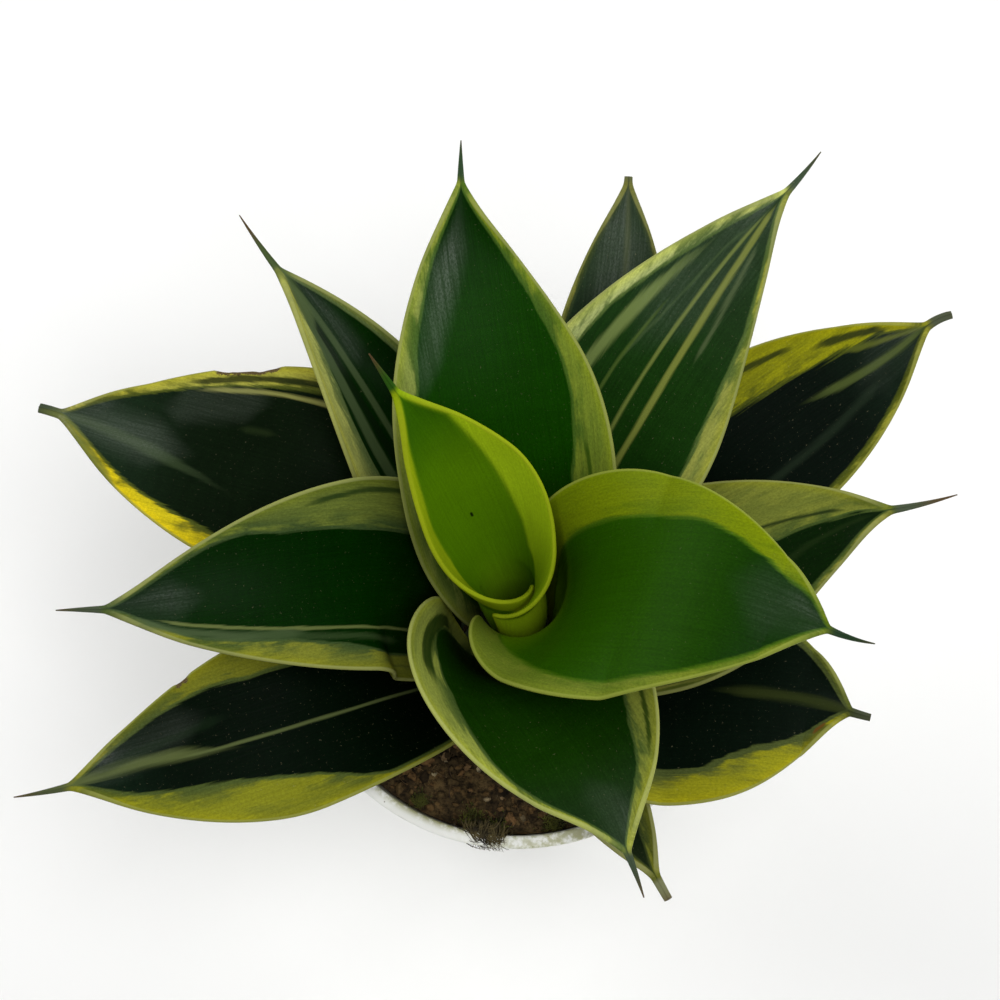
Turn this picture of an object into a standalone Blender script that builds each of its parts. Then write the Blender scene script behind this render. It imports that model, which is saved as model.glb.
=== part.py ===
"""Potted black gold snake plant: a dwarf rosette of fourteen stiff leaves in a white plastic pot.

Metres, +Z up. The origin is the middle of the pot's underside. The front is -Y.
"""

from math import cos, pi, radians, sin
from typing import NamedTuple

import bmesh
import bpy
import numpy as np

MM = 0.001
TOUCH_GAP = 0.3 * MM

# Pot: a tapered nursery pot of 12 cm with a broad flat lip.
POT_RIM_RADIUS = 60.0 * MM
POT_HEIGHT = 100.0 * MM
POT_LIP_WIDTH = 3.3 * MM
POT_BAND_HEIGHT = 11.0 * MM
POT_BAND_STEP = 1.0 * MM
POT_BAND_TAPER = 1.6 * MM
POT_BASE_RADIUS = 44.0 * MM
POT_WALL = 1.4 * MM
POT_FLOOR = 1.8 * MM
POT_SEGMENTS = 48
DRAIN_HOLES = 6
DRAIN_HOLE_RADIUS = 4.5 * MM
DRAIN_RING_RADIUS = 29.0 * MM

# Soil: fills the pot to a little under the lip and is a few crumbs uneven.
SOIL_LEVEL_WALL = 93.0 * MM
SOIL_LEVEL_CROWN = 91.2 * MM
SOIL_CRUMBS = 90
SOIL_CRUMB_HEIGHT = 1.5 * MM
SOIL_CRUMB_SPREAD = 4.5 * MM
SOIL_RINGS = 8
SOIL_SEED = 11

# Crown: the short rhizome that every leaf grows from, sunk in a plain hole in the soil.
CROWN_RADIUS = 27.5 * MM
CROWN_TOP = 89.7 * MM
CROWN_DEPTH = 15.0 * MM
CROWN_SEGMENTS = 36

# Leaf blades: thickest along the middle, blunt at the margin.
LEAF_BASE_LEVEL = 90.0
BLADE_THICKNESS = 2.2
SHEATH_THICKNESS = 1.4
MARGIN_THICKNESS = 0.8
SPIKE_RADIUS = 1.25
SPIKE_RUN_IN = 8.0
ROWS_ALONG = 14

POT_WHITE = (0.72, 0.72, 0.68, 1.0)
SOIL_BROWN = (0.030, 0.017, 0.009, 1.0)
RHIZOME_TAN = (0.20, 0.13, 0.06, 1.0)
YOUNG_GREEN = (0.13, 0.26, 0.010, 1.0)
MID_GREEN = (0.040, 0.14, 0.008, 1.0)
DEEP_GREEN = (0.012, 0.055, 0.010, 1.0)
OLD_GREEN = (0.008, 0.020, 0.008, 1.0)


class Leaf(NamedTuple):
    """One leaf. Lengths are in millimetres and angles in degrees; azimuth runs anticlockwise from +X."""

    tier: float  # radius at which the sheath wraps the crown
    base_azimuth: float
    base_lean: float  # steepness of the midrib as it leaves the crown
    tip_azimuth: float
    reach: float  # level distance from the crown's axis to the end of the blade
    height: float  # rise from the crown to the end of the blade
    tip_lean: float
    half_width: float  # over the curve of the section
    colour: tuple
    tip_turn: float = 0.0  # heading of the tip, measured from tip_azimuth
    widest: float = 0.5  # where the blade is widest, as a share of its length
    base_share: float = 0.6  # width at the crown, as a share of the widest
    tip_fullness: float = 2.0  # higher keeps the blade broad for longer before the tip
    cup: float = 8.0  # extra roll of the free blade
    wrap: float = 1.0  # roll of the sheath: 1 follows a circle round the crown
    most_roll: float = 158.0
    overlap: float = 0.0  # how far one margin of the sheath laps outside the other
    sheath_end: float = 0.25
    blade_start: float = 0.6
    twist_middle: float = 0.0
    twist_tip: float = 0.0
    pull_base: float = 0.42
    pull_tip: float = 0.36
    spike: float = 12.0
    spike_turn: float = 0.0
    spike_lift: float = 0.0
    spike_end: float = 0.25
    columns: int = 8


# From the innermost, still rolled into a funnel, to the outermost and lowest.
LEAVES = {
    "leaf_01": Leaf(
        tier=4, base_azimuth=114.5, base_lean=83.5, tip_azimuth=130.5, reach=44,
        height=92, tip_lean=58, half_width=31.5, colour=YOUNG_GREEN, tip_turn=7.5,
        widest=0.34, base_share=0.62, tip_fullness=1.2, cup=27.5, wrap=1.61,
        most_roll=234, overlap=-0.09, sheath_end=0.53, blade_start=0.7,
        twist_middle=-4.5, pull_base=0.27, pull_tip=0.45, spike=13.5, spike_turn=8,
        spike_lift=11, columns=16,
    ),
    "leaf_02": Leaf(
        tier=9.3, base_azimuth=-39, base_lean=87.5, tip_azimuth=-18.5, reach=71,
        height=92.5, tip_lean=-15, half_width=29.5, colour=MID_GREEN, tip_turn=-2,
        widest=0.52, base_share=0.34, tip_fullness=2.23, cup=-42, sheath_end=0.19,
        blade_start=0.46, twist_middle=-8, pull_base=0.71, pull_tip=0.38, spike=10.5,
        spike_turn=14, spike_lift=3, columns=12,
    ),
    "leaf_03": Leaf(
        tier=10.9, base_azimuth=88.5, base_lean=79, tip_azimuth=98.5, reach=94,
        height=78, tip_lean=24.5, half_width=31, colour=DEEP_GREEN, tip_turn=-8,
        widest=0.41, base_share=0.58, tip_fullness=1.5, cup=14, sheath_end=0.28,
        blade_start=0.64, twist_middle=1.5, pull_base=0.5, pull_tip=0.28, spike=9,
        spike_turn=-2, columns=10,
    ),
    "leaf_04": Leaf(
        tier=13.8, base_azimuth=250, base_lean=65, tip_azimuth=289.5, reach=72,
        height=69, tip_lean=14.5, half_width=33, colour=DEEP_GREEN, widest=0.43,
        base_share=0.43, tip_fullness=1.8, cup=21.5, sheath_end=0.18, blade_start=0.84,
        twist_middle=-7.5, pull_base=0.44, pull_tip=0.6, spike=10.5, spike_turn=-4,
        spike_lift=2, columns=10,
    ),
    "leaf_05": Leaf(
        tier=15.5, base_azimuth=154.5, base_lean=70, tip_azimuth=185, reach=100,
        height=55, tip_lean=0, half_width=28.5, colour=DEEP_GREEN, tip_turn=-5,
        widest=0.25, base_share=0.87, tip_fullness=1.8, cup=24, sheath_end=0.27,
        blade_start=0.45, twist_middle=-18.5, pull_base=0.45, pull_tip=0.31, spike=10.5,
        spike_turn=2, spike_lift=-1, columns=10,
    ),
    "leaf_06": Leaf(
        tier=17.3, base_azimuth=60, base_lean=76.5, tip_azimuth=54.5, reach=115.5,
        height=70.5, tip_lean=17, half_width=27, colour=DEEP_GREEN, tip_turn=-10,
        widest=0.42, base_share=0.73, tip_fullness=1.45, cup=1.5, sheath_end=0.24,
        blade_start=0.55, twist_middle=3, pull_base=0.41, spike=11.5, spike_turn=7,
    ),
    "leaf_07": Leaf(
        tier=18.9, base_azimuth=-19, base_lean=69.5, tip_azimuth=11, reach=94.5,
        height=49, tip_lean=14, half_width=26.5, colour=DEEP_GREEN, tip_turn=-5,
        widest=0.43, base_share=0.47, tip_fullness=1.45, cup=4.5, blade_start=0.61,
        twist_middle=-3.5, pull_base=0.4, pull_tip=0.43, spike=15, spike_turn=8,
        spike_lift=2,
    ),
    "leaf_08": Leaf(
        tier=18.8, base_azimuth=131.5, base_lean=74.5, tip_azimuth=127, reach=102,
        height=52, tip_lean=26.5, half_width=19, colour=DEEP_GREEN, tip_turn=4,
        widest=0.47, base_share=0.59, tip_fullness=1.75, cup=61.5, sheath_end=0.28,
        blade_start=0.71, twist_middle=8, twist_tip=28.5, pull_base=0.39, pull_tip=0.39,
        spike=15.5, spike_turn=-5, spike_lift=1,
    ),
    "leaf_09": Leaf(
        tier=20.7, base_azimuth=31, base_lean=67, tip_azimuth=33, reach=125.5,
        height=45.5, tip_lean=6.5, half_width=23.5, colour=OLD_GREEN, tip_turn=1,
        base_share=0.62, tip_fullness=2.05, cup=3, twist_middle=1.5, pull_base=0.41,
        spike=6, spike_turn=-23, spike_lift=-1, spike_end=0.9,
    ),
    "leaf_10": Leaf(
        tier=20.7, base_azimuth=134.5, base_lean=66.5, tip_azimuth=158, reach=127.5,
        height=36, tip_lean=0.5, half_width=30, colour=OLD_GREEN, tip_turn=3,
        widest=0.45, base_share=0.46, tip_fullness=1.85, cup=1, blade_start=0.61,
        twist_middle=5.5, spike=4.5, spike_turn=5, spike_lift=-3, spike_end=1.1,
    ),
    "leaf_11": Leaf(
        tier=21.5, base_azimuth=305, base_lean=64, tip_azimuth=340.5, reach=87.5,
        height=32, tip_lean=1.5, half_width=29, colour=OLD_GREEN, tip_turn=1,
        widest=0.46, base_share=0.58, tip_fullness=2.35, cup=-13.5, blade_start=0.5,
        twist_middle=-13.5, pull_base=0.41, pull_tip=0.38, spike=4.5, spike_turn=4,
        spike_lift=1, spike_end=0.8,
    ),
    "leaf_12": Leaf(
        tier=22.7, base_azimuth=61.5, base_lean=64.5, tip_azimuth=75, reach=112,
        height=47.5, tip_lean=18, half_width=15, colour=OLD_GREEN, tip_turn=12,
        widest=0.51, tip_fullness=1.95, cup=8.5, twist_middle=1, pull_tip=0.38,
        spike=0.5, spike_end=0.9,
    ),
    "leaf_13": Leaf(
        tier=23.4, base_azimuth=214.5, base_lean=60.5, tip_azimuth=203.5, reach=120,
        height=33, tip_lean=1.5, half_width=23.5, colour=OLD_GREEN, tip_turn=-10,
        widest=0.48, base_share=0.74, tip_fullness=1.7, cup=1.5, blade_start=0.57,
        twist_middle=-0.5, pull_tip=0.34, spike=12.5, spike_turn=-5, spike_lift=1,
    ),
    "leaf_14": Leaf(
        tier=25.4, base_azimuth=290.5, base_lean=56, tip_azimuth=296, reach=77.5,
        height=27, tip_lean=9.5, half_width=11, colour=OLD_GREEN, tip_turn=1,
        widest=0.48, tip_fullness=1.8, cup=32, twist_middle=0.5, spike=5, spike_turn=1,
        spike_lift=1, spike_end=0.9,
    ),
}


def material(name, colour, roughness, metallic=0.0):
    """Plain Principled material."""
    made = bpy.data.materials.new(name)
    made.use_nodes = True
    shader = made.node_tree.nodes["Principled BSDF"]
    shader.inputs["Base Color"].default_value = colour
    shader.inputs["Roughness"].default_value = roughness
    shader.inputs["Metallic"].default_value = metallic
    made.diffuse_color = colour
    return made


def add_object(name, mesh, look):
    """Puts a mesh in the scene as one named, smooth-shaded object."""
    mesh.materials.append(look)
    mesh.shade_smooth()
    mesh.set_sharp_from_angle(angle=radians(40))
    made = bpy.data.objects.new(name, mesh)
    bpy.context.scene.collection.objects.link(made)
    return made


def turned_mesh(name, profile, segments):
    """Spins an outline of (radius, height) points round Z and closes both ends with a flat face."""
    shape = bmesh.new()
    rings = []
    for radius, height in profile:
        steps = [2 * pi * k / segments for k in range(segments)]
        rings.append([shape.verts.new((radius * cos(a), radius * sin(a), height)) for a in steps])
    for lower, upper in zip(rings, rings[1:]):
        for k in range(segments):
            n = (k + 1) % segments
            shape.faces.new([lower[k], lower[n], upper[n], upper[k]])
    shape.faces.new(rings[0])
    shape.faces.new(rings[-1])
    bmesh.ops.recalc_face_normals(shape, faces=shape.faces)
    mesh = bpy.data.meshes.new(name)
    shape.to_mesh(mesh)
    shape.free()
    return mesh


def pot_inner_radius(height):
    """Radius of the pot's inner wall, which tapers evenly from under the lip to the floor."""
    top = POT_RIM_RADIUS - POT_LIP_WIDTH
    bottom = POT_BASE_RADIUS - POT_WALL
    return bottom + (top - bottom) * height / POT_HEIGHT


def drain_hole_cutters():
    """One upright cylinder through the floor for each drain hole."""
    cutters = []
    for k in range(DRAIN_HOLES):
        angle = 2 * pi * (k + 0.5) / DRAIN_HOLES
        bpy.ops.mesh.primitive_cylinder_add(
            vertices=16,
            radius=DRAIN_HOLE_RADIUS,
            depth=6 * POT_FLOOR,
            location=(DRAIN_RING_RADIUS * cos(angle), DRAIN_RING_RADIUS * sin(angle), 0),
        )
        cutter = bpy.context.object
        cutter.name = f"drain_cutter_{k + 1}"
        cutter.hide_render = True
        cutter.display_type = "WIRE"
        cutters.append(cutter)
    return cutters


def add_pot():
    """Turned wall, floor and lip band, with the drain holes cut through the floor."""
    band_low = POT_HEIGHT - POT_BAND_HEIGHT
    band_foot = POT_RIM_RADIUS - POT_BAND_TAPER
    under_band = band_foot - POT_BAND_STEP
    ease = 0.6 * MM
    profile = [
        (POT_BASE_RADIUS - ease, 0),
        (POT_BASE_RADIUS, ease),
        (under_band, band_low - ease),
        (band_foot - ease, band_low),
        (band_foot, band_low + ease),
        (POT_RIM_RADIUS, POT_HEIGHT - ease),
        (POT_RIM_RADIUS - ease, POT_HEIGHT),
        (pot_inner_radius(POT_HEIGHT) + ease, POT_HEIGHT),
        (pot_inner_radius(POT_HEIGHT), POT_HEIGHT - ease),
        (pot_inner_radius(POT_FLOOR), POT_FLOOR),
    ]
    mesh = turned_mesh("pot", profile, POT_SEGMENTS)
    pot = add_object("pot", mesh, material("white_plastic", POT_WHITE, 0.45))
    for cutter in drain_hole_cutters():
        cut = pot.modifiers.new(cutter.name, "BOOLEAN")
        cut.operation = "DIFFERENCE"
        cut.solver = "EXACT"
        cut.object = cutter


def crumb_relief(x, y):
    """Height of the crumbs at (x, y): a sum of small round bumps scattered by a seeded draw."""
    draw = np.random.default_rng(SOIL_SEED)
    angle = draw.uniform(0, 2 * pi, SOIL_CRUMBS)
    distance = POT_RIM_RADIUS * np.sqrt(draw.uniform(0.2, 0.95, SOIL_CRUMBS))
    height = SOIL_CRUMB_HEIGHT * draw.uniform(-0.6, 1.0, SOIL_CRUMBS)
    away = (x - distance * np.cos(angle)) ** 2 + (y - distance * np.sin(angle)) ** 2
    return float((height * np.exp(-away / SOIL_CRUMB_SPREAD**2)).sum())


def add_soil():
    """Tapered plug with a crumbly top and a plain round hole for the crown."""
    hole = CROWN_RADIUS + TOUCH_GAP
    hole_floor = CROWN_TOP - CROWN_DEPTH - TOUCH_GAP
    bottom = POT_FLOOR + TOUCH_GAP
    profile = [
        (pot_inner_radius(bottom) - TOUCH_GAP, bottom),
        (pot_inner_radius(SOIL_LEVEL_WALL) - TOUCH_GAP, SOIL_LEVEL_WALL),
    ]
    for k in range(1, SOIL_RINGS + 1):
        share = k / SOIL_RINGS
        wall = profile[1][0]
        level = SOIL_LEVEL_WALL + (SOIL_LEVEL_CROWN - SOIL_LEVEL_WALL) * share
        profile.append((wall + (hole - wall) * share, level))
    profile.append((hole, hole_floor))
    mesh = turned_mesh("soil", profile, POT_SEGMENTS)
    for vertex in mesh.vertices:
        distance = (vertex.co.x**2 + vertex.co.y**2) ** 0.5
        inside = hole + MM < distance < pot_inner_radius(SOIL_LEVEL_WALL) - MM
        if inside and vertex.co.z > hole_floor + MM:
            vertex.co.z += crumb_relief(vertex.co.x, vertex.co.y)
    add_object("soil", mesh, material("potting_soil", SOIL_BROWN, 0.95))


def add_crown():
    """Squat turned stub with a flat top and a rounded underside."""
    low = CROWN_TOP - CROWN_DEPTH
    profile = [
        (0.55 * CROWN_RADIUS, low),
        (0.85 * CROWN_RADIUS, low + 0.2 * CROWN_DEPTH),
        (CROWN_RADIUS, low + 0.6 * CROWN_DEPTH),
        (CROWN_RADIUS, CROWN_TOP - 0.8 * MM),
        (CROWN_RADIUS - 0.8 * MM, CROWN_TOP),
    ]
    mesh = turned_mesh("crown", profile, CROWN_SEGMENTS)
    add_object("crown", mesh, material("rhizome", RHIZOME_TAN, 0.8))


def unit(azimuth, elevation):
    """Unit vector at an azimuth and an elevation in degrees."""
    a = radians(azimuth)
    e = radians(elevation)
    return np.array([cos(e) * cos(a), cos(e) * sin(a), sin(e)])


def ease(share):
    """Smooth step from 0 to 1."""
    share = np.clip(share, 0, 1)
    return share * share * (3 - 2 * share)


def midrib(leaf, samples=400):
    """Centreline: a cubic from crown to blade tip, then the spike, which bends from the tip's heading."""
    base = np.array([
        leaf.tier * cos(radians(leaf.base_azimuth)),
        leaf.tier * sin(radians(leaf.base_azimuth)),
        LEAF_BASE_LEVEL,
    ])
    tip = np.array([
        leaf.reach * cos(radians(leaf.tip_azimuth)),
        leaf.reach * sin(radians(leaf.tip_azimuth)),
        LEAF_BASE_LEVEL + leaf.height,
    ])
    span = np.linalg.norm(tip - base)
    heading = leaf.tip_azimuth + leaf.tip_turn
    into_tip = unit(heading, leaf.tip_lean)
    first = base + unit(leaf.base_azimuth, leaf.base_lean) * span * leaf.pull_base
    second = tip - into_tip * span * leaf.pull_tip
    t = np.linspace(0, 1, samples)[:, None]
    blade = (1 - t) ** 3 * base + 3 * (1 - t) ** 2 * t * first
    blade = blade + 3 * (1 - t) * t**2 * second + t**3 * tip
    out_of_tip = unit(heading + leaf.spike_turn, leaf.tip_lean + leaf.spike_lift)
    k = np.linspace(0, 1, samples // 4)[1:, None]
    spike = tip + leaf.spike * (k * into_tip + k**2 * 0.5 * (out_of_tip - into_tip))
    line = np.vstack([blade, spike])
    along = np.r_[0, np.cumsum(np.linalg.norm(np.diff(line, axis=0), axis=1))]
    return along, line, along[samples - 1]


def half_widths(leaf, along, blade_length, full_length):
    """Half width of the blade and of the spike: a swell from the crown, a curve to the tip."""
    t = np.clip(along / blade_length, 0, 1)
    swell = 1 - (1 - leaf.base_share) * ((leaf.widest - t) / leaf.widest) ** 2
    close = 1 - (np.clip(t - leaf.widest, 0, 1) / (1 - leaf.widest)) ** leaf.tip_fullness
    blade = leaf.half_width * np.clip(np.where(t < leaf.widest, swell, close), 0, None)
    run = full_length - blade_length + SPIKE_RUN_IN
    down = np.clip((along - blade_length + SPIKE_RUN_IN) / run, 0, 1)
    spike = SPIKE_RADIUS * (1 - down) + leaf.spike_end * down
    return (blade**4 + spike**4) ** 0.25, spike


def leaf_sections(leaf):
    """Middle surface of the leaf as rows of points, its normals, and half the thickness.

    Each row is an arc. In the sheath the arc is level and runs round the crown; in the free
    blade it stands square to the midrib.
    """
    along, line, blade_length = midrib(leaf)
    full_length = along[-1]
    rows = np.r_[
        np.linspace(0, 0.97 * blade_length, ROWS_ALONG + 1),
        blade_length,
        blade_length + (full_length - blade_length) * np.array([0.35, 0.7, 1.0]),
    ]
    middle = np.stack([np.interp(rows, along, line[:, i]) for i in range(3)], 1)
    ahead = np.stack([np.interp(rows + 0.5, along, line[:, i]) for i in range(3)], 1)
    behind = np.stack([np.interp(rows - 0.5, along, line[:, i]) for i in range(3)], 1)
    forward = (ahead - behind) / np.linalg.norm(ahead - behind, axis=1)[:, None]
    t = np.clip(rows / blade_length, 0, 1)

    free = ease((t - leaf.sheath_end) / (leaf.blade_start - leaf.sheath_end))
    slope = np.arcsin(np.clip(forward[:, 2], -1, 1))
    lean = pi / 2 + (slope - pi / 2) * free
    radius = np.hypot(middle[:, 0], middle[:, 1])
    radial = middle[:, :2] / radius[:, None]
    outward = forward[:, :2] / np.hypot(forward[:, 0], forward[:, 1])[:, None]
    facing = radial * (1 - free)[:, None] + outward * free[:, None]
    azimuth = np.arctan2(facing[:, 1], facing[:, 0])
    across = np.stack([-np.sin(azimuth), np.cos(azimuth), 0 * azimuth], 1)
    upward = np.stack(
        [-np.sin(lean) * np.cos(azimuth), -np.sin(lean) * np.sin(azimuth), np.cos(lean)], 1
    )
    twist = radians(leaf.twist_middle) * 4 * t * (1 - t)
    twist = twist + radians(leaf.twist_tip) * t * (2 * t - 1) * (t > 0.5)
    side = across * np.cos(twist)[:, None] + upward * np.sin(twist)[:, None]
    face = upward * np.cos(twist)[:, None] - across * np.sin(twist)[:, None]

    width, spike = half_widths(leaf, rows, blade_length, full_length)
    roll = width * np.sin(lean) / np.maximum(radius, leaf.tier)
    roll = roll * (leaf.wrap * (1 - free) + free) + radians(leaf.cup) * free
    gather = ease((t - 0.82) / 0.18)
    roll = roll * (1 - gather) + np.maximum(roll, radians(70)) * gather
    roll = np.clip(roll, 0.02, radians(leaf.most_roll))

    v = np.linspace(-1, 1, leaf.columns + 1)
    angle = roll[:, None] * v[None, :]
    bend = (width / roll)[:, None] * (1 + leaf.overlap * v[None, :])
    surface = middle[:, None, :] + (bend * np.sin(angle))[..., None] * side[:, None, :]
    surface = surface + (bend * (1 - np.cos(angle)))[..., None] * face[:, None, :]
    normal = np.cross(np.gradient(surface, axis=0), np.gradient(surface, axis=1))
    normal[0, :, 2] = 0  # keeps the foot of the sheath level on the crown
    normal = normal / np.linalg.norm(normal, axis=2)[..., None]

    body = SHEATH_THICKNESS + (BLADE_THICKNESS - SHEATH_THICKNESS) * ease(t / 0.35)
    into_spike = ease((rows - blade_length + SPIKE_RUN_IN) / SPIKE_RUN_IN)
    body = body * (1 - into_spike) + np.minimum(body, 2 * spike) * into_spike
    edge = np.minimum(MARGIN_THICKNESS, body)
    half = 0.5 * (edge[:, None] + (body - edge)[:, None] * np.sqrt(1 - v**2)[None, :])
    return surface, normal, half


def add_leaf(name, leaf):
    """Closes the upper and lower faces of a leaf, split into the same triangles, with a rim."""
    surface, normal, half = leaf_sections(leaf)
    rows, columns = half.shape
    upper = surface + normal * half[..., None]
    lower = surface - normal * half[..., None]
    points = np.concatenate([upper.reshape(-1, 3), lower.reshape(-1, 3)]) * MM
    index = np.arange(rows * columns).reshape(rows, columns)
    under = rows * columns
    a, b = index[:-1, :-1].ravel(), index[1:, :-1].ravel()
    c, d = index[1:, 1:].ravel(), index[:-1, 1:].ravel()
    faces = [np.stack([a, b, c], 1), np.stack([a, c, d], 1)]
    faces += [np.stack([a, c, b], 1) + under, np.stack([a, d, c], 1) + under]
    for rim in (index[:, 0], index[-1, :], index[::-1, -1], index[0, ::-1]):
        p, q = rim[:-1], rim[1:]
        faces += [np.stack([p, p + under, q + under], 1), np.stack([p, q + under, q], 1)]
    mesh = bpy.data.meshes.new(name)
    mesh.from_pydata(points.tolist(), [], np.concatenate(faces).tolist())
    add_object(name, mesh, material(f"{name}_green", leaf.colour, 0.35))


for old in list(bpy.data.objects):
    bpy.data.objects.remove(old, do_unlink=True)

add_pot()
add_soil()
add_crown()
for leaf_name, leaf_form in LEAVES.items():
    add_leaf(leaf_name, leaf_form)
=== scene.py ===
from math import cos, pi, radians, sin
from typing import NamedTuple

import bpy
import numpy as np
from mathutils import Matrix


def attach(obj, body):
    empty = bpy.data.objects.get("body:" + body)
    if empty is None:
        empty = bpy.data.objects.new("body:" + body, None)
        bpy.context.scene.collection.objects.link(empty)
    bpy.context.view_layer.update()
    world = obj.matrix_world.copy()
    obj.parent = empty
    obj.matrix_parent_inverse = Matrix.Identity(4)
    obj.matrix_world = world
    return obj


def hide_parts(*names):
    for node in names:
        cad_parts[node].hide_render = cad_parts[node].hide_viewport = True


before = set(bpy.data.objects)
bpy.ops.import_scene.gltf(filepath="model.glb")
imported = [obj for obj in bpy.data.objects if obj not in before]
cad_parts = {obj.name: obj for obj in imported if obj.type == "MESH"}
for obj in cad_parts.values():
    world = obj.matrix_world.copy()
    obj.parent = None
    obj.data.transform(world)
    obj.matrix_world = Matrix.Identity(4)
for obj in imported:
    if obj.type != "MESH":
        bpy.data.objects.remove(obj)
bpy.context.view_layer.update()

# The studio: a pale floor that runs out of sight, a main soft box beside the camera, two weaker
# ones low at the back, and the camera, which looks down into the rosette from the pot's front,
# 17 degrees off the vertical.
MM = 0.001
VIEW_TARGET = (-4.4 * MM, 17.0 * MM, 150.0 * MM)
VIEW_ELEVATION = radians(73)
VIEW_DISTANCE = 450 * MM
FOCAL_LENGTH = 67.68
SENSOR_WIDTH = 36.0
FLOOR_HALF = 6.0
FLOOR_DROP = 0.2 * MM
FLOOR_WHITE = (0.94, 0.94, 0.93, 1.0)
SKY_LIGHT = 0.28
SKY_SHOWN = 0.95
# name, side in metres, place, power in watts
SOFT_BOXES = (
    ("beside_camera", 0.8, (0.30, -0.25, 1.30), 11.0),
    ("back_left", 1.2, (-1.05, 0.75, 0.95), 11.0),
    ("back_right", 1.0, (1.05, 0.95, 0.80), 6.0),
)


def feed(node, **sockets):
    """Gives each input of a node, by name or as n and its number, a value or a link."""
    for name, value in sockets.items():
        numbered = name[0] == "n" and name[1:].isdigit()
        socket = node.inputs[int(name[1:]) if numbered else name.replace("_", " ")]
        if isinstance(value, bpy.types.NodeSocket):
            node.id_data.links.new(value, socket)
        else:
            socket.default_value = value


def put(tree, kind, settings=None, **sockets):
    """Adds a shader node, sets its options and feeds its inputs."""
    made = tree.nodes.new(kind)
    for option, value in (settings or {}).items():
        setattr(made, option, value)
    feed(made, **sockets)
    return made


def new_look(name):
    """Principled material, with its tree and shader."""
    look = bpy.data.materials.new(name)
    look.use_nodes = True
    return look, look.node_tree, look.node_tree.nodes["Principled BSDF"]


def soft_box(name, size, place, power):
    """A square area light that faces the plant: tipped by arctan(level / drop), then turned to it."""
    lamp = bpy.data.lights.new(name, "AREA")
    lamp.size = size
    lamp.energy = power
    made = bpy.data.objects.new(name, lamp)
    made.location = place
    x, y, z = np.array(VIEW_TARGET) - np.array(place)
    made.rotation_euler = (float(np.arctan2(np.hypot(x, y), -z)), 0, float(np.arctan2(-x, y)))
    bpy.context.scene.collection.objects.link(made)


floor_mesh = bpy.data.meshes.new("floor")
floor_corners = [(-1, -1), (1, -1), (1, 1), (-1, 1)]
floor_corners = [(x * FLOOR_HALF, y * FLOOR_HALF, -FLOOR_DROP) for x, y in floor_corners]
floor_mesh.from_pydata(floor_corners, [], [(0, 1, 2, 3)])
floor = bpy.data.objects.new("floor", floor_mesh)
bpy.context.scene.collection.objects.link(floor)
floor_look, _, shader = new_look("pale_floor")
feed(shader, Base_Color=FLOOR_WHITE, Roughness=0.9, Specular_IOR_Level=0.1)
floor_mesh.materials.append(floor_look)

for soft_box_values in SOFT_BOXES:
    soft_box(*soft_box_values)

sky = bpy.data.worlds.new("studio")
bpy.context.scene.world = sky
sky.use_nodes = True
sky_seen = put(sky.node_tree, "ShaderNodeLightPath").outputs["Is Camera Ray"]
sky_strength = put(sky.node_tree, "ShaderNodeMapRange", Value=sky_seen, To_Min=SKY_LIGHT, To_Max=SKY_SHOWN)
feed(sky.node_tree.nodes["Background"], Color=(1, 1, 1, 1), Strength=sky_strength.outputs[0])
bpy.context.scene.view_settings.view_transform = "Standard"

lens = bpy.data.cameras.new("photo_view")
lens.lens = FOCAL_LENGTH
lens.sensor_width = SENSOR_WIDTH
lens.clip_start = 10 * MM
camera = bpy.data.objects.new("photo_view", lens)
camera.location = (
    VIEW_TARGET[0],
    VIEW_TARGET[1] - VIEW_DISTANCE * cos(VIEW_ELEVATION),
    VIEW_TARGET[2] + VIEW_DISTANCE * sin(VIEW_ELEVATION),
)
camera.rotation_euler = (pi / 2 - VIEW_ELEVATION, 0, 0)
bpy.context.scene.collection.objects.link(camera)
bpy.context.scene.camera = camera


# The pot: one moulded shell of satin white plastic, tapered, with a broad flat lip on a short
# band and six holes through the floor. It carries the dirt of the nursery: brown specks,
# green-brown algae on the lip's front right and inner edge, and a film of grime.
POT_RIM_RADIUS = 60.0
POT_HEIGHT = 100.0
POT_LIP_WIDTH = 3.3
POT_BAND_HEIGHT = 11.0
POT_BAND_STEP = 1.1
POT_BAND_TAPER = 1.6
POT_BASE_RADIUS = 44.0
POT_FOOT_RING = (4.0, 5.0, 0.8)  # width at the ground, width at the recess, and the recess's height
POT_WALL = 1.4
POT_FLOOR = 1.8
POT_CORNER = 0.9
POT_SEGMENTS = 192
POT_STEP = 4.0
DRAIN_HOLES = 6
DRAIN_HOLE_RADIUS = 4.5
DRAIN_RING_RADIUS = 29.0
DRILL_REACH = (-5.0, 8.0)
DRILL_SEGMENTS = 40
SPECK_CELLS = 620.0  # to a metre
SPECK_SIZE = (0.16, 0.08)  # from none to full, in cells
GRIME_SHARE = 0.1
ALGAE_SHARE = 0.8
# Where the algae starts and where it is full: at the lip's inner edge by the distance from the
# axis, at its front right by the product of the place and a vector that way, and by height.
ALGAE_INNER_EDGE = (58.9 * MM, 56.7 * MM)
POT_FRONT_RIGHT = (7.0, -15.5, 0.0)
ALGAE_FRONT_RIGHT = (0.72, 1.02)
ALGAE_HEIGHT = (82 * MM, 100 * MM)


def paint(red, green, blue):
    """A colour as the eye sees it, 0 to 255, turned linear: ((c + 0.055) / 1.055) ^ 2.4."""
    shown = np.array([red, green, blue]) / 255
    linear = np.where(shown > 0.04045, ((shown + 0.055) / 1.055) ** 2.4, shown / 12.92)
    return (*linear.tolist(), 1.0)


POT_WHITE = paint(252, 253, 248)
POT_GRIME = paint(150, 140, 108)
POT_SPECK = paint(96, 78, 50)
POT_ALGAE = paint(150, 150, 66)


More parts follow.
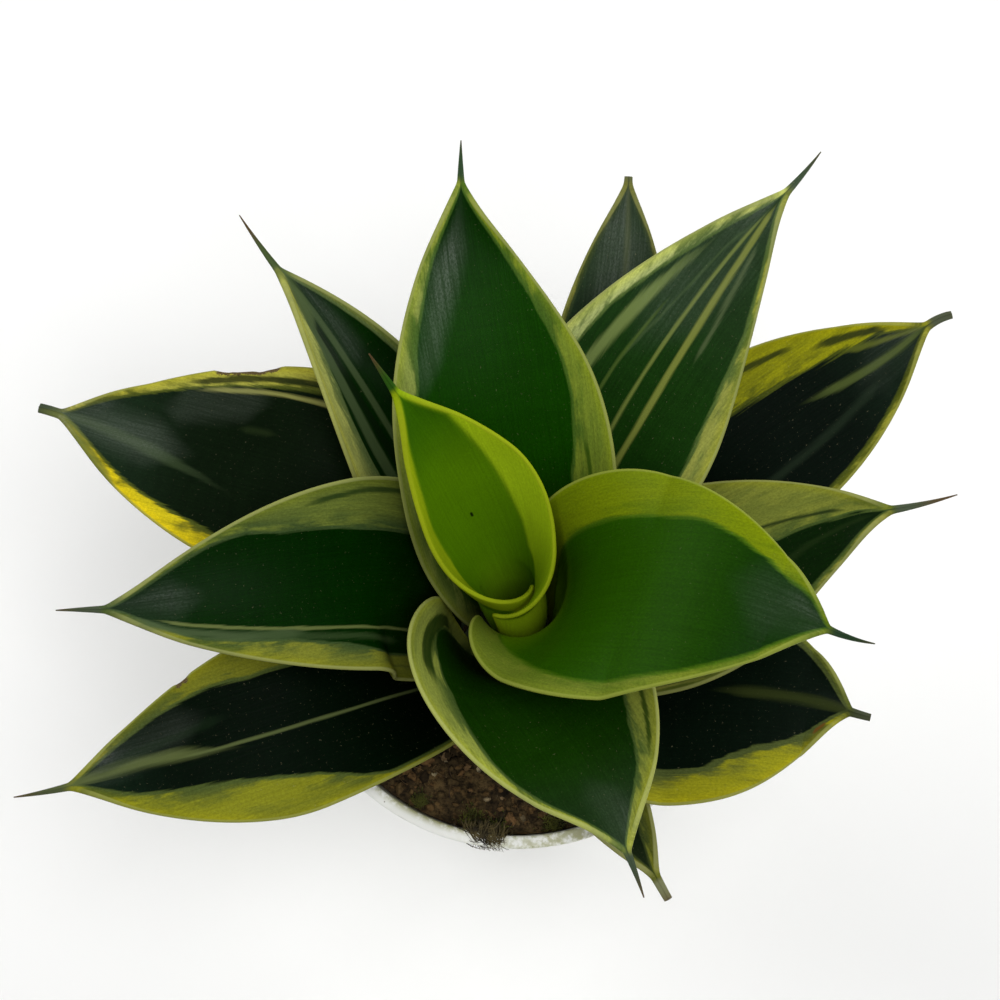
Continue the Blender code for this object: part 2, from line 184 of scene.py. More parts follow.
def lay_mesh(name, points_mm, faces, maps=None):
    """Puts arrays of points, in millimetres, and of faces into a smooth mesh object.

    maps gives the UV maps by name, each with two values a point.
    """
    mesh = bpy.data.meshes.new(name)
    mesh.vertices.add(len(points_mm))
    mesh.vertices.foreach_set("co", (np.asarray(points_mm) * MM).astype(np.float32).ravel())
    mesh.loops.add(faces.size)
    mesh.loops.foreach_set("vertex_index", faces.astype(np.int32).ravel())
    mesh.polygons.add(len(faces))
    mesh.polygons.foreach_set("loop_start", np.arange(0, faces.size, faces.shape[1], dtype=np.int32))
    mesh.update(calc_edges=True)
    for map_name, values in (maps or {}).items():
        layer = mesh.uv_layers.new(name=map_name)
        layer.uv.foreach_set("vector", values.reshape(-1, 2)[faces.ravel()].astype(np.float32).ravel())
    mesh.shade_smooth()
    made = bpy.data.objects.new(name, mesh)
    bpy.context.scene.collection.objects.link(made)
    return made


def finish_piece(piece, look, node=None):
    """Gives a piece its material, its ride with the plant and any CAD node that it stands for."""
    piece.data.materials.append(look)
    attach(piece, "root")
    if node:
        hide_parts(node)


def bowed(t, start, middle, end):
    """Quadratic curve: (1 - t)^2 start + 2 t (1 - t) middle + t^2 end."""
    return (1 - t) ** 2 * start + 2 * t * (1 - t) * middle + t**2 * end


def round_corners(outline, radius, steps=6):
    """Each corner of an open outline gives way to a quadratic curve.

    The curve starts and ends a radius away from the corner, or a third of the shorter side.
    """
    outline = np.array(outline, float)
    before, at, after = outline[:-2], outline[1:-1], outline[2:]
    back, on = before - at, after - at
    back_long = np.linalg.norm(back, axis=1, keepdims=True)
    on_long = np.linalg.norm(on, axis=1, keepdims=True)
    cut = np.minimum(radius, np.minimum(back_long, on_long) / 3)
    start, end = at + back / back_long * cut, at + on / on_long * cut
    curve = bowed(np.linspace(0, 1, steps)[None, :, None], start[:, None], at[:, None], end[:, None])
    return np.vstack([outline[:1], curve.reshape(-1, 2), outline[-1:]])


def even_steps(outline, step):
    """Cuts each side of an open outline into equal parts no longer than about one step."""
    sides = [
        a + (b - a) * np.linspace(0, 1, max(2, int(np.hypot(*(b - a)) / step) + 1))[1:, None]
        for a, b in zip(outline[:-1], outline[1:])
    ]
    return np.vstack([outline[:1], *sides])


def turned(outline, segments):
    """Spins an outline of (radius, height) that starts and ends on the axis: (r cos a, r sin a, z).

    The two ends become one point each, at the poles.
    """
    angle = 2 * pi * np.arange(segments) / segments
    radius, height = outline[1:-1].T
    rings = np.stack(
        [np.outer(radius, np.cos(angle)), np.outer(radius, np.sin(angle)), np.outer(height, angle * 0 + 1)], 2
    )
    k = np.arange(segments)
    n = (k + 1) % segments
    low = (np.arange(len(radius) - 1) * segments)[:, None]
    high = low + segments
    first, last = rings.shape[0] * segments, rings.shape[0] * segments + 1
    top = last - 1 - segments
    faces = [np.stack([low + k, low + n, high + n], 2), np.stack([low + k, high + n, high + k], 2)]
    faces += [np.stack([n, k, 0 * k + first], 1), np.stack([top + k, top + n, 0 * k + last], 1)]
    poles = [[0, 0, outline[0, 1]], [0, 0, outline[-1, 1]]]
    return np.vstack([rings.reshape(-1, 3), poles]), np.concatenate([face.reshape(-1, 3) for face in faces])


def pot_inner_radius(height):
    """Radius of the pot's inner wall, a straight taper from under the lip to the floor."""
    top, bottom = POT_RIM_RADIUS - POT_LIP_WIDTH, POT_BASE_RADIUS - POT_WALL
    return bottom + (top - bottom) * height / POT_HEIGHT


def join(kind, settings, *values):
    """Adds a node where the values' first link is, and feeds the values to its inputs in turn."""
    tree = next(value.id_data for value in values if isinstance(value, bpy.types.NodeSocket))
    return put(tree, kind, settings, **{f"n{number}": value for number, value in enumerate(values)}).outputs


def maths(operation, *values):
    """One Math node."""
    return join("ShaderNodeMath", {"operation": operation}, *values)[0]


def times(first, second):
    """first x second."""
    return maths("MULTIPLY", first, second)


def plus(first, second):
    """first + second."""
    return maths("ADD", first, second)


def minus(first, second):
    """first - second."""
    return maths("SUBTRACT", first, second)


def times_plus(first, second, third):
    """first x second + third."""
    return maths("MULTIPLY_ADD", first, second, third)


def graded(value, low, high, least=0.0, most=1.0, ease="LINEAR"):
    """Straight slope from least at low to most at high, level beyond both."""
    return join("ShaderNodeMapRange", {"interpolation_type": ease}, value, low, high, least, most)[0]


def ramp_up(value, low, high, least=0.0, most=1.0):
    """The same slope with both its ends eased."""
    return graded(value, low, high, least, most, "SMOOTHSTEP")


def mixed(share, first, second, kind="MIX"):
    """The first colour, with the second over it to a share from 0 to 1."""
    tree = next(value.id_data for value in (share, first, second) if isinstance(value, bpy.types.NodeSocket))
    settings = {"data_type": "RGBA", "blend_type": kind}
    return put(tree, "ShaderNodeMix", settings, n0=share, n6=first, n7=second).outputs[2]


def parts(vector):
    """The X, Y and Z of a vector."""
    return join("ShaderNodeSeparateXYZ", {}, vector)


def object_place(tree):
    """The point's place on its object, in metres."""
    return put(tree, "ShaderNodeTexCoord").outputs["Object"]


def noise(place, scale, detail, rough=0.5, settings=None):
    """Grey noise with so many cells to a unit of the place."""
    made = put(place.id_data, "ShaderNodeTexNoise", settings, Vector=place, Scale=scale)
    feed(made, Detail=detail, Roughness=rough)
    return made.outputs[0]


def relief(height, depth, strength):
    """Normal bent by a height; depth is what a height of 1 stands for, in metres."""
    return put(height.id_data, "ShaderNodeBump", Height=height, Distance=depth, Strength=strength).outputs[0]


ring_ground, ring_recess, recess = POT_FOOT_RING
band_foot = POT_RIM_RADIUS - POT_BAND_TAPER
pot_outline = [
    (0, recess),
    (POT_BASE_RADIUS - ring_recess, recess),
    (POT_BASE_RADIUS - ring_ground, 0),
    (POT_BASE_RADIUS, 0),
    (band_foot - POT_BAND_STEP, POT_HEIGHT - POT_BAND_HEIGHT),
    (band_foot, POT_HEIGHT - POT_BAND_HEIGHT),
    (POT_RIM_RADIUS, POT_HEIGHT),
    (pot_inner_radius(POT_HEIGHT), POT_HEIGHT),
    (pot_inner_radius(POT_FLOOR), POT_FLOOR),
    (0, POT_FLOOR),
]
pot_outline = even_steps(round_corners(pot_outline, POT_CORNER), POT_STEP)
pot = lay_mesh("white_pot", *turned(pot_outline, POT_SEGMENTS))
low, high = DRILL_REACH
drill_outline = np.array([(0, low), (DRAIN_HOLE_RADIUS, low), (DRAIN_HOLE_RADIUS, high), (0, high)])
drill_points, drill_faces = turned(drill_outline, DRILL_SEGMENTS)
for hole in range(DRAIN_HOLES):
    turn = 2 * pi * (hole + 0.5) / DRAIN_HOLES
    hole_place = [DRAIN_RING_RADIUS * cos(turn), DRAIN_RING_RADIUS * sin(turn), 0]
    drill = lay_mesh("drain_drill", drill_points + hole_place, drill_faces)
    cut = pot.modifiers.new("drain_hole", "BOOLEAN")
    cut.operation, cut.solver, cut.object = "DIFFERENCE", "EXACT", drill
    bpy.context.view_layer.objects.active = pot
    bpy.ops.object.modifier_apply(modifier=cut.name)
    bpy.data.objects.remove(drill, do_unlink=True)
pot.data.set_sharp_from_angle(angle=radians(50))

pot_look, tree, shader = new_look("white_plastic")
place = object_place(tree)
broad = noise(place, 38.0, 4.0, 0.6)
fine = noise(place, 420.0, 5.0, 0.65)
level_place = join("ShaderNodeVectorMath", {"operation": "MULTIPLY"}, place, (1, 1, 0))[0]
out_from_axis = join("ShaderNodeVectorMath", {"operation": "LENGTH"}, level_place)["Value"]
to_front_right = join("ShaderNodeVectorMath", {"operation": "DOT_PRODUCT"}, place, POT_FRONT_RIGHT)["Value"]
algae_inside = ramp_up(out_from_axis, *ALGAE_INNER_EDGE)
algae = maths("MAXIMUM", algae_inside, ramp_up(to_front_right, *ALGAE_FRONT_RIGHT))
algae_patches = times_plus(fine, 0.75, times(broad, 0.55))
algae = times(algae, ramp_up(algae_patches, 0.52, 0.72))
algae = times(algae, graded(parts(place)["Z"], *ALGAE_HEIGHT))
specks = put(tree, "ShaderNodeTexVoronoi", Vector=place, Scale=SPECK_CELLS).outputs["Distance"]
specks = times(graded(specks, *SPECK_SIZE), graded(fine, 0.53, 0.58))
grime = times(ramp_up(broad, 0.47, 0.72), GRIME_SHARE)
pot_colour = mixed(specks, mixed(grime, POT_WHITE, POT_GRIME), POT_SPECK)
pot_colour = mixed(times(algae, ALGAE_SHARE), pot_colour, POT_ALGAE)
pot_rough = graded(broad, 0.0, 1.0, 0.34, 0.62)
feed(shader, Base_Color=pot_colour, Roughness=pot_rough, Normal=relief(fine, 0.3 * MM, 0.25))
finish_piece(pot, pot_look, "pot")


# The soil: a plug of dark peat mix that fills the pot, loose on top. Crumbs of peat and bark,
# root fibres, grains of lime and a little moss lie on it and among the feet of the leaves, and a
# tuft of dark fibre hangs over the front of the lip.
SOIL_LEVEL_WALL = 93.0
SOIL_LEVEL_CROWN = 91.2
SOIL_GAP = 0.3
SOIL_CRUMBS = 90
SOIL_CRUMB_HEIGHT = 1.5
SOIL_CRUMB_SPREAD = 4.5
SOIL_SEED = 11
SOIL_RINGS = 64
SOIL_SEGMENTS = 300
SOIL_EDGE = 1.5  # the lumps fade out over this width round the crown
FINE_LUMPS = 520
# A pair below is the least and the most, if it doesn't say otherwise. Places on the soil are
# drawn as the square of a share of the radius, so that things lie evenly over it.
LUMP_PLACES = (0.2, 0.95)
LUMP_RISE = (-0.6, 1.0)  # in crumb heights
FINE_LUMP_RISE = (-0.6, 0.9)
FINE_LUMP_SPREAD = (0.7, 1.8)
CROWN_RADIUS = 27.5
CROWN_TOP = 89.7
CROWN_DEPTH = 15.0
LOOSE_CRUMBS = 1300
CRUMB_PLACES = (0.02, 1)
CRUMB_INSET = 1.2  # kept from the soil's edge
CRUMB_LOG_SIZE = (-0.45, 0.42)  # mean and spread of the logarithm
CRUMB_SIZES = (0.25, 1.6)
CRUMB_FLATNESS = (0.45, 0.9)
CRUMB_STANDS = 0.35  # how far the middle stands above the soil, as a share of half the thickness
CRUMB_LUMPS = 0.28
CRUMB_LUMP_LIMITS = (0.45, 1.6)
CRUMB_WIDTHS = (0.7, 1.4)
CRUMB_DEPTHS = (0.6, 1.1)
CRUMB_TIP = 0.35
ROOTED = 0.2  # the feet of fibres and moss lie so deep in the soil
# Across a thread is square to this, a direction that few threads run in. The thread's thickness
# goes down from its foot by the taper, with the square of the way along it.
THREAD_ASIDE = (0.31, 0.17, 0.94)
THREAD_FOOT = 1.02
THREAD_TAPER = 0.85
ROOT_FIBRES = 150
FIBRE_PLACES = (0.3, 1)
FIBRE_INSET = 3
FIBRE_END_INSET = 1
FIBRE_LENGTHS = (1.5, 5.5)
FIBRE_END_RISE = (-0.2, 0.9)
FIBRE_WAVER = 0.8
FIBRE_ARCH = 1.1
FIBRE_RADII = (0.07, 0.17)
TUFT_FIBRES = 150
TUFT_AZIMUTH = radians(-96.6)
TUFT_ROOT_TURN = (-0.03, 0.055)  # mean and spread, in radians
TUFT_END_TURN = (0.012, 0.03)  # mean and spread, in radians
TUFT_GATHER = 0.3  # what is left of the roots' spread at the free ends
TUFT_ROOT_RADII = (53, 57)
TUFT_ROOT_HEIGHTS = (96.5, 100.4)
TUFT_CREST_HEIGHTS = (POT_HEIGHT - 0.2, POT_HEIGHT + 1.2)
TUFT_CREST_INSET = 2.6
TUFT_WAVER = 1.1
TUFT_REACH = 0.8  # the furthest that an end gets past the lip
TUFT_SHORTFALL = 1.7  # the mean of what the ends fall short of it
TUFT_HANGS_FROM = 0.1  # an end further past the lip hangs, and the others lie on it
TUFT_HANGING = (-2.2, -0.3)
TUFT_LYING = (0.2, 0.9)
TUFT_RADII = (0.12, 0.26)
# azimuth, distance from the pot's axis and spread
MOSS_TUFTS = (
    (radians(-103), 52.5, 3.6),
    (radians(-96), 54.0, 3.0),
    (radians(-80), 53.5, 3.4),
    (radians(-118), 53.0, 2.4),
)
MOSS_LEAVES = 240
MOSS_SCATTER = 0.42  # as a share of the tuft's spread
MOSS_INSET = 0.6
MOSS_LEAN = 0.55
MOSS_HEIGHTS = (0.9, 2.4)
MOSS_WAVER = 0.25
MOSS_RADII = (0.1, 0.2)
SOIL_DARK = paint(38, 29, 18)
SOIL_MID = paint(98, 80, 50)
SOIL_BARK = paint(104, 80, 48)
SOIL_PALE_BARK = paint(122, 92, 58)
SOIL_LIME = paint(168, 154, 120)
ROOT_DARK = paint(52, 38, 22)
ROOT_TAN = paint(138, 108, 66)
TUFT_DARK = paint(34, 28, 15)
TUFT_TAN = paint(96, 84, 46)
MOSS_DARK = paint(52, 54, 20)
MOSS_GREEN = paint(118, 122, 44)


def polar(distance, angle):
    """(r cos a, r sin a)."""
    return distance * np.cos(angle), distance * np.sin(angle)


def soil_relief(x, y):
    """Height of the soil's lumps: a sum of seeded round bumps, h exp(-d^2 / s^2).

    The first ones are broad, as in the solid, and fine ones come on top.
    """
    draw = np.random.default_rng(SOIL_SEED)
    angle = draw.uniform(0, 2 * pi, SOIL_CRUMBS)
    distance = POT_RIM_RADIUS * np.sqrt(draw.uniform(*LUMP_PLACES, SOIL_CRUMBS))
    height = SOIL_CRUMB_HEIGHT * draw.uniform(*LUMP_RISE, SOIL_CRUMBS)
    angle = np.r_[angle, draw.uniform(0, 2 * pi, FINE_LUMPS)]
    distance = np.r_[distance, POT_RIM_RADIUS * np.sqrt(draw.uniform(*LUMP_PLACES, FINE_LUMPS))]
    height = np.r_[height, draw.uniform(*FINE_LUMP_RISE, FINE_LUMPS)]
    fine_spread = draw.uniform(*FINE_LUMP_SPREAD, FINE_LUMPS)
    spread = np.r_[np.full(SOIL_CRUMBS, SOIL_CRUMB_SPREAD), fine_spread]
    lump_x, lump_y = polar(distance, angle)
    away = (x[..., None] - lump_x) ** 2 + (y[..., None] - lump_y) ** 2
    return (height * np.exp(-away / spread**2)).sum(-1)


soil_wall = pot_inner_radius(SOIL_LEVEL_WALL) - SOIL_GAP
soil_hole = CROWN_RADIUS + SOIL_GAP
soil_low = POT_FLOOR + SOIL_GAP
hole_low = CROWN_TOP - CROWN_DEPTH - SOIL_GAP


def soil_level(x, y):
    """Height of the soil's top: an even slope from wall to crown, plus the lumps, which fade at its edges."""
    radius = np.hypot(x, y)
    share = np.clip((soil_wall - radius) / (soil_wall - soil_hole), 0, 1)
    fade = np.clip((radius - soil_hole) / SOIL_EDGE, 0, 1) * np.clip(soil_wall - radius, 0, 1)
    level = SOIL_LEVEL_WALL + (SOIL_LEVEL_CROWN - SOIL_LEVEL_WALL) * share + soil_relief(x, y) * fade
    return np.where(radius < soil_hole, CROWN_TOP, level)


top_rings = np.linspace(soil_wall, soil_hole, SOIL_RINGS)
soil_outline = np.vstack(
    [
        [0, soil_low],
        [pot_inner_radius(soil_low) - SOIL_GAP, soil_low],
        np.stack([top_rings, np.full(SOIL_RINGS, SOIL_LEVEL_WALL)], 1),
        [soil_hole, hole_low],
        [0, hole_low],
    ]
)
soil_points, soil_faces = turned(soil_outline, SOIL_SEGMENTS)
top_points = soil_points[SOIL_SEGMENTS : SOIL_SEGMENTS * (1 + SOIL_RINGS)]
top_points[:, 2] = soil_level(top_points[:, 0], top_points[:, 1])
top_points[-SOIL_SEGMENTS:, 2] = SOIL_LEVEL_CROWN
soil = lay_mesh("peat_soil", soil_points, soil_faces)
soil.data.set_sharp_from_angle(angle=radians(60))

soil_look, tree, shader = new_look("peat")
place = object_place(tree)
grain = noise(place, 620.0, 6.0, 0.7)
patch = noise(place, 130.0, 3.0, 0.6)
chips = put(tree, "ShaderNodeTexVoronoi", Vector=place, Scale=780.0).outputs["Color"]
chips = parts(chips)
peat = mixed(graded(patch, 0.36, 0.68), SOIL_DARK, SOIL_MID)
peat = mixed(graded(chips["X"], 0.78, 0.95, 0.0, 0.75), peat, SOIL_BARK)
peat = mixed(graded(chips["Y"], 0.985, 0.995, 0.0, 0.8), peat, SOIL_LIME)
peat = mixed(1.0, peat, graded(grain, 0.4, 0.6, 0.3, 1.45), "MULTIPLY")
soil_normal = relief(grain, 1.2 * MM, 0.9)
feed(shader, Base_Color=peat, Roughness=0.92, Specular_IOR_Level=0.2, Normal=soil_normal)
finish_piece(soil, soil_look, "soil")


def pebble_shape():
    """A round lump of 80 faces: an icosahedron with each face split in four, pushed out to a sphere."""
    g = (1 + 5**0.5) / 2
    corners = np.array(
        [(-1, g, 0), (1, g, 0), (-1, -g, 0), (1, -g, 0), (0, -1, g), (0, 1, g),
         (0, -1, -g), (0, 1, -g), (g, 0, -1), (g, 0, 1), (-g, 0, -1), (-g, 0, 1)]
    )
    sides = np.array(
        [(0, 11, 5), (0, 5, 1), (0, 1, 7), (0, 7, 10), (0, 10, 11), (1, 5, 9), (5, 11, 4),
         (11, 10, 2), (10, 7, 6), (7, 1, 8), (3, 9, 4), (3, 4, 2), (3, 2, 6), (3, 6, 8),
         (3, 8, 9), (4, 9, 5), (2, 4, 11), (6, 2, 10), (8, 6, 7), (9, 8, 1)]
    )
    edges = np.sort(np.concatenate([sides[:, [0, 1]], sides[:, [1, 2]], sides[:, [2, 0]]]), axis=1)
    single, where = np.unique(edges, axis=0, return_inverse=True)
    ab, bc, ca = where.ravel().reshape(3, -1) + len(corners)
    a, b, c = sides.T
    faces = [np.stack(face, 1) for face in ((a, ab, ca), (b, bc, ab), (c, ca, bc), (ab, bc, ca))]
    points = np.vstack([corners, corners[single].mean(1)])
    return points / np.linalg.norm(points, axis=1)[:, None], np.concatenate(faces)


def scatter(name, x, y, z, size, flat, tone, seed):
    """Copies of the pebble, each with its own lumps, stretch, tip and turn, in one mesh.

    tone goes to a UV map, one value a copy.
    """
    draw = np.random.default_rng(seed)
    ball, faces = pebble_shape()
    count = len(x)
    lumps = np.clip(1 + CRUMB_LUMPS * draw.normal(size=(count, len(ball), 1)), *CRUMB_LUMP_LIMITS)
    wide, deep = draw.uniform(*CRUMB_WIDTHS, count), draw.uniform(*CRUMB_DEPTHS, count)
    stretch = size[:, None] * np.stack([wide, deep, flat], 1)
    px, py, pz = np.moveaxis(ball[None] * lumps * stretch[:, None, :], 2, 0)
    turn, tip = draw.uniform(0, 2 * pi, (count, 1)), draw.normal(0, CRUMB_TIP, (count, 1))
    py, pz = py * np.cos(tip) - pz * np.sin(tip), py * np.sin(tip) + pz * np.cos(tip)
    px, py = px * np.cos(turn) - py * np.sin(turn), px * np.sin(turn) + py * np.cos(turn)
    points = np.stack([px + x[:, None], py + y[:, None], pz + z[:, None]], 2)
    many = (faces[None] + (np.arange(count) * len(ball))[:, None, None]).reshape(-1, 3)
    tones = np.repeat(np.stack([tone, draw.uniform(0, 1, count)], 1), len(ball), axis=0)
    return lay_mesh(name, points.reshape(-1, 3), many, {"tone": tones})


def map_values(tree, name):
    """The two values of a UV map, as X and Y."""
    return parts(put(tree, "ShaderNodeUVMap", {"uv_map": name}).outputs[0])


draw = np.random.default_rng(23)
crumb_turn = draw.uniform(0, 2 * pi, LOOSE_CRUMBS)
crumb_out = np.sqrt(draw.uniform(*CRUMB_PLACES, LOOSE_CRUMBS)) * (soil_wall - CRUMB_INSET)
crumb_x, crumb_y = polar(crumb_out, crumb_turn)
crumb_size = np.clip(draw.lognormal(*CRUMB_LOG_SIZE, LOOSE_CRUMBS), *CRUMB_SIZES)
crumb_flat = draw.uniform(*CRUMB_FLATNESS, LOOSE_CRUMBS)
crumb_z = soil_level(crumb_x, crumb_y) + crumb_size * crumb_flat * CRUMB_STANDS
crumb_tone = draw.uniform(0, 1, LOOSE_CRUMBS)
crumbs = scatter("loose_crumbs", crumb_x, crumb_y, crumb_z, crumb_size, crumb_flat, crumb_tone, 24)

crumb_look, tree, shader = new_look("crumbs")
grain = noise(object_place(tree), 900.0, 4.0, 0.7)
crumb_colour = put(tree, "ShaderNodeValToRGB", Fac=map_values(tree, "tone")["X"])
ramp = crumb_colour.color_ramp
ramp.elements[0].position, ramp.elements[0].color = 0.0, SOIL_DARK
ramp.elements[1].position, ramp.elements[1].color = 1.0, SOIL_LIME
for at, colour in ((0.45, SOIL_MID), (0.78, SOIL_BARK), (0.93, SOIL_PALE_BARK)):
    ramp.elements.new(at).color = colour
shaded = mixed(0.8, crumb_colour.outputs[0], graded(grain, 0.3, 0.7, 0.25, 1.4), "MULTIPLY")
crumb_normal = relief(grain, 0.5 * MM, 0.8)
feed(shader, Base_Color=shaded, Roughness=0.95, Specular_IOR_Level=0.2, Normal=crumb_normal)
finish_piece(crumbs, crumb_look)


def strands(name, start, middle, end, thick, look, steps=9):
    """Thin tapered threads, each a quadratic curve through three given points with a triangular section."""
    t = np.linspace(0, 1, steps)[:, None, None]
    path = bowed(t, start, middle, end)
    ahead = np.gradient(path, axis=0)
    ahead = ahead / np.linalg.norm(ahead, axis=2, keepdims=True)
    across = np.cross(ahead, THREAD_ASIDE)
    across = across / np.linalg.norm(across, axis=2, keepdims=True)
    third = np.cross(ahead, across)
    around = 2 * pi * np.arange(3)[:, None] / 3
    wide = thick[None, :, None] * (THREAD_FOOT - t**2 * THREAD_TAPER)
    ring = np.cos(around) * across[..., None, :] + np.sin(around) * third[..., None, :]
    points = path[..., None, :] + wide[..., None, :] * ring
    index = np.arange(steps * len(start) * 3).reshape(steps, -1, 3)
    low, high = index[:-1], index[1:]
    low_next, high_next = np.roll(low, -1, axis=2), np.roll(high, -1, axis=2)
    faces = [np.stack([low, low_next, high_next], 3), np.stack([low, high_next, high], 3)]
    faces += [index[0][:, ::-1], index[-1]]
    faces = np.concatenate([face.reshape(-1, 3) for face in faces])
    finish_piece(lay_mesh(name, points.reshape(-1, 3), faces), look)


def two_tone_look(name, dark, light, scale, detail, rough):
    """A dull look that wavers between two colours with the noise."""
    look, tree, shader = new_look(name)
    waver = graded(noise(object_place(tree), scale, detail), 0.35, 0.65)
    feed(shader, Base_Color=mixed(waver, dark, light), Roughness=rough)
    return look


fibre_look = two_tone_look("root_fibre", ROOT_DARK, ROOT_TAN, 160.0, 2.0, 0.85)
draw = np.random.default_rng(31)
fibre_turn = draw.uniform(0, 2 * pi, ROOT_FIBRES)
fibre_out = np.sqrt(draw.uniform(*FIBRE_PLACES, ROOT_FIBRES)) * (soil_wall - FIBRE_INSET)
fibre_x, fibre_y = polar(fibre_out, fibre_turn)
fibre_way = draw.uniform(0, 2 * pi, ROOT_FIBRES)
fibre_long = draw.uniform(*FIBRE_LENGTHS, ROOT_FIBRES)
fibre_start = np.stack([fibre_x, fibre_y, soil_level(fibre_x, fibre_y) - ROOTED], 1)
end_x, end_y = fibre_x + fibre_long * np.cos(fibre_way), fibre_y + fibre_long * np.sin(fibre_way)
over = np.maximum(np.hypot(end_x, end_y) / (soil_wall - FIBRE_END_INSET), 1)
end_x, end_y = end_x / over, end_y / over
end_z = soil_level(end_x, end_y) + draw.uniform(*FIBRE_END_RISE, ROOT_FIBRES)
fibre_end = np.stack([end_x, end_y, end_z], 1)
fibre_middle = (fibre_start + fibre_end) / 2 + draw.normal(0, FIBRE_WAVER, (ROOT_FIBRES, 3))
fibre_middle = fibre_middle + [0, 0, FIBRE_ARCH]
fibre_thick = draw.uniform(*FIBRE_RADII, ROOT_FIBRES)
strands("root_fibres", fibre_start, fibre_middle, fibre_end, fibre_thick, fibre_look)

tuft_look = two_tone_look("dark_fibre", TUFT_DARK, TUFT_TAN, 420.0, 2.0, 0.9)
draw = np.random.default_rng(37)
tuft_turn = TUFT_AZIMUTH + draw.normal(*TUFT_ROOT_TURN, TUFT_FIBRES)
end_turn = TUFT_AZIMUTH + TUFT_GATHER * (tuft_turn - TUFT_AZIMUTH)
end_turn = end_turn + draw.normal(*TUFT_END_TURN, TUFT_FIBRES)
tuft_way, end_way = np.stack(polar(1, tuft_turn), 1), np.stack(polar(1, end_turn), 1)
tuft_root = tuft_way * draw.uniform(*TUFT_ROOT_RADII, (TUFT_FIBRES, 1))
tuft_start = np.column_stack([tuft_root, draw.uniform(*TUFT_ROOT_HEIGHTS, TUFT_FIBRES)])
over_lip = draw.uniform(*TUFT_CREST_HEIGHTS, TUFT_FIBRES)
tuft_middle = np.column_stack([tuft_way * (POT_RIM_RADIUS - TUFT_CREST_INSET), over_lip])
tuft_middle[:, :2] += draw.normal(0, TUFT_WAVER, (TUFT_FIBRES, 2))
tuft_reach = TUFT_REACH - draw.exponential(TUFT_SHORTFALL, TUFT_FIBRES)
hanging, lying = draw.uniform(*TUFT_HANGING, TUFT_FIBRES), draw.uniform(*TUFT_LYING, TUFT_FIBRES)
tuft_fall = np.where(tuft_reach > TUFT_HANGS_FROM, hanging, lying)
tuft_end = np.column_stack([end_way * (POT_RIM_RADIUS + tuft_reach)[:, None], POT_HEIGHT + tuft_fall])
tuft_thick = draw.uniform(*TUFT_RADII, TUFT_FIBRES)
strands("lip_tuft", tuft_start, tuft_middle, tuft_end, tuft_thick, tuft_look)

moss_look = two_tone_look("moss", MOSS_DARK, MOSS_GREEN, 300.0, 3.0, 0.8)
draw = np.random.default_rng(41)
moss_turn, moss_out, moss_wide = np.repeat(MOSS_TUFTS, MOSS_LEAVES, axis=0).T
moss_count = len(moss_turn)
moss_off = draw.normal(0, MOSS_SCATTER, (moss_count, 2)) * moss_wide[:, None]
moss_at = np.stack(polar(moss_out, moss_turn), 1) + moss_off
moss_at = moss_at / np.maximum(np.hypot(*moss_at.T) / (soil_wall - MOSS_INSET), 1)[:, None]
moss_start = np.column_stack([moss_at, soil_level(*moss_at.T) - ROOTED])
moss_lean = draw.normal(0, MOSS_LEAN, (moss_count, 2))
moss_end = moss_start + np.column_stack([moss_lean, draw.uniform(*MOSS_HEIGHTS, moss_count)])
moss_bend = (moss_start + moss_end) / 2 + draw.normal(0, MOSS_WAVER, (moss_count, 3))
moss_thick = draw.uniform(*MOSS_RADII, moss_count)
strands("moss", moss_start, moss_bend, moss_end, moss_thick, moss_look, steps=4)


# The crown: the short rhizome in the middle of the soil that all the leaves grow from, a
# squat tan stub with the ring scars of old leaves and a dark green top between the leaf bases.
CROWN_SEGMENTS = 120
CROWN_STEP = 1.2
CROWN_CORNER = 2.0
CROWN_DARK = paint(62, 44, 26)
CROWN_TAN = paint(138, 108, 66)
CROWN_GREEN = paint(30, 42, 10)
CROWN_GREEN_HEIGHT = (87.8 * MM, 88.9 * MM)
SCAR_DEPTH = 0.1
SCAR_WAVE = 2.1  # in radians to a millimetre, as RIPPLE_WAVE is
RIPPLE_DEPTH = 0.25
RIPPLE_WAVE = 1.7

crown_low = CROWN_TOP - CROWN_DEPTH
crown_outline = [
    (0, crown_low),
    (0.55 * CROWN_RADIUS, crown_low),
    (0.85 * CROWN_RADIUS, crown_low + 0.2 * CROWN_DEPTH),
    (CROWN_RADIUS, crown_low + 0.6 * CROWN_DEPTH),
    (CROWN_RADIUS, CROWN_TOP),
    (0, CROWN_TOP),
]
crown_outline = even_steps(round_corners(crown_outline, CROWN_CORNER), CROWN_STEP)
crown_points, crown_faces = turned(crown_outline, CROWN_SEGMENTS)
crown_radius = np.hypot(crown_points[:, 0], crown_points[:, 1])
scar = SCAR_DEPTH * np.abs(np.sin(crown_points[:, 2] * SCAR_WAVE)) * (crown_radius > CROWN_RADIUS - 1)
crown_points[:, :2] *= (1 - scar / np.maximum(crown_radius, 1))[:, None]
crown_top = crown_points[:, 2] > CROWN_TOP - 0.01
crown_points[:, 2] -= RIPPLE_DEPTH * (1 + np.sin(crown_radius * RIPPLE_WAVE)) * crown_top
crown = lay_mesh("crown_stub", crown_points, crown_faces)

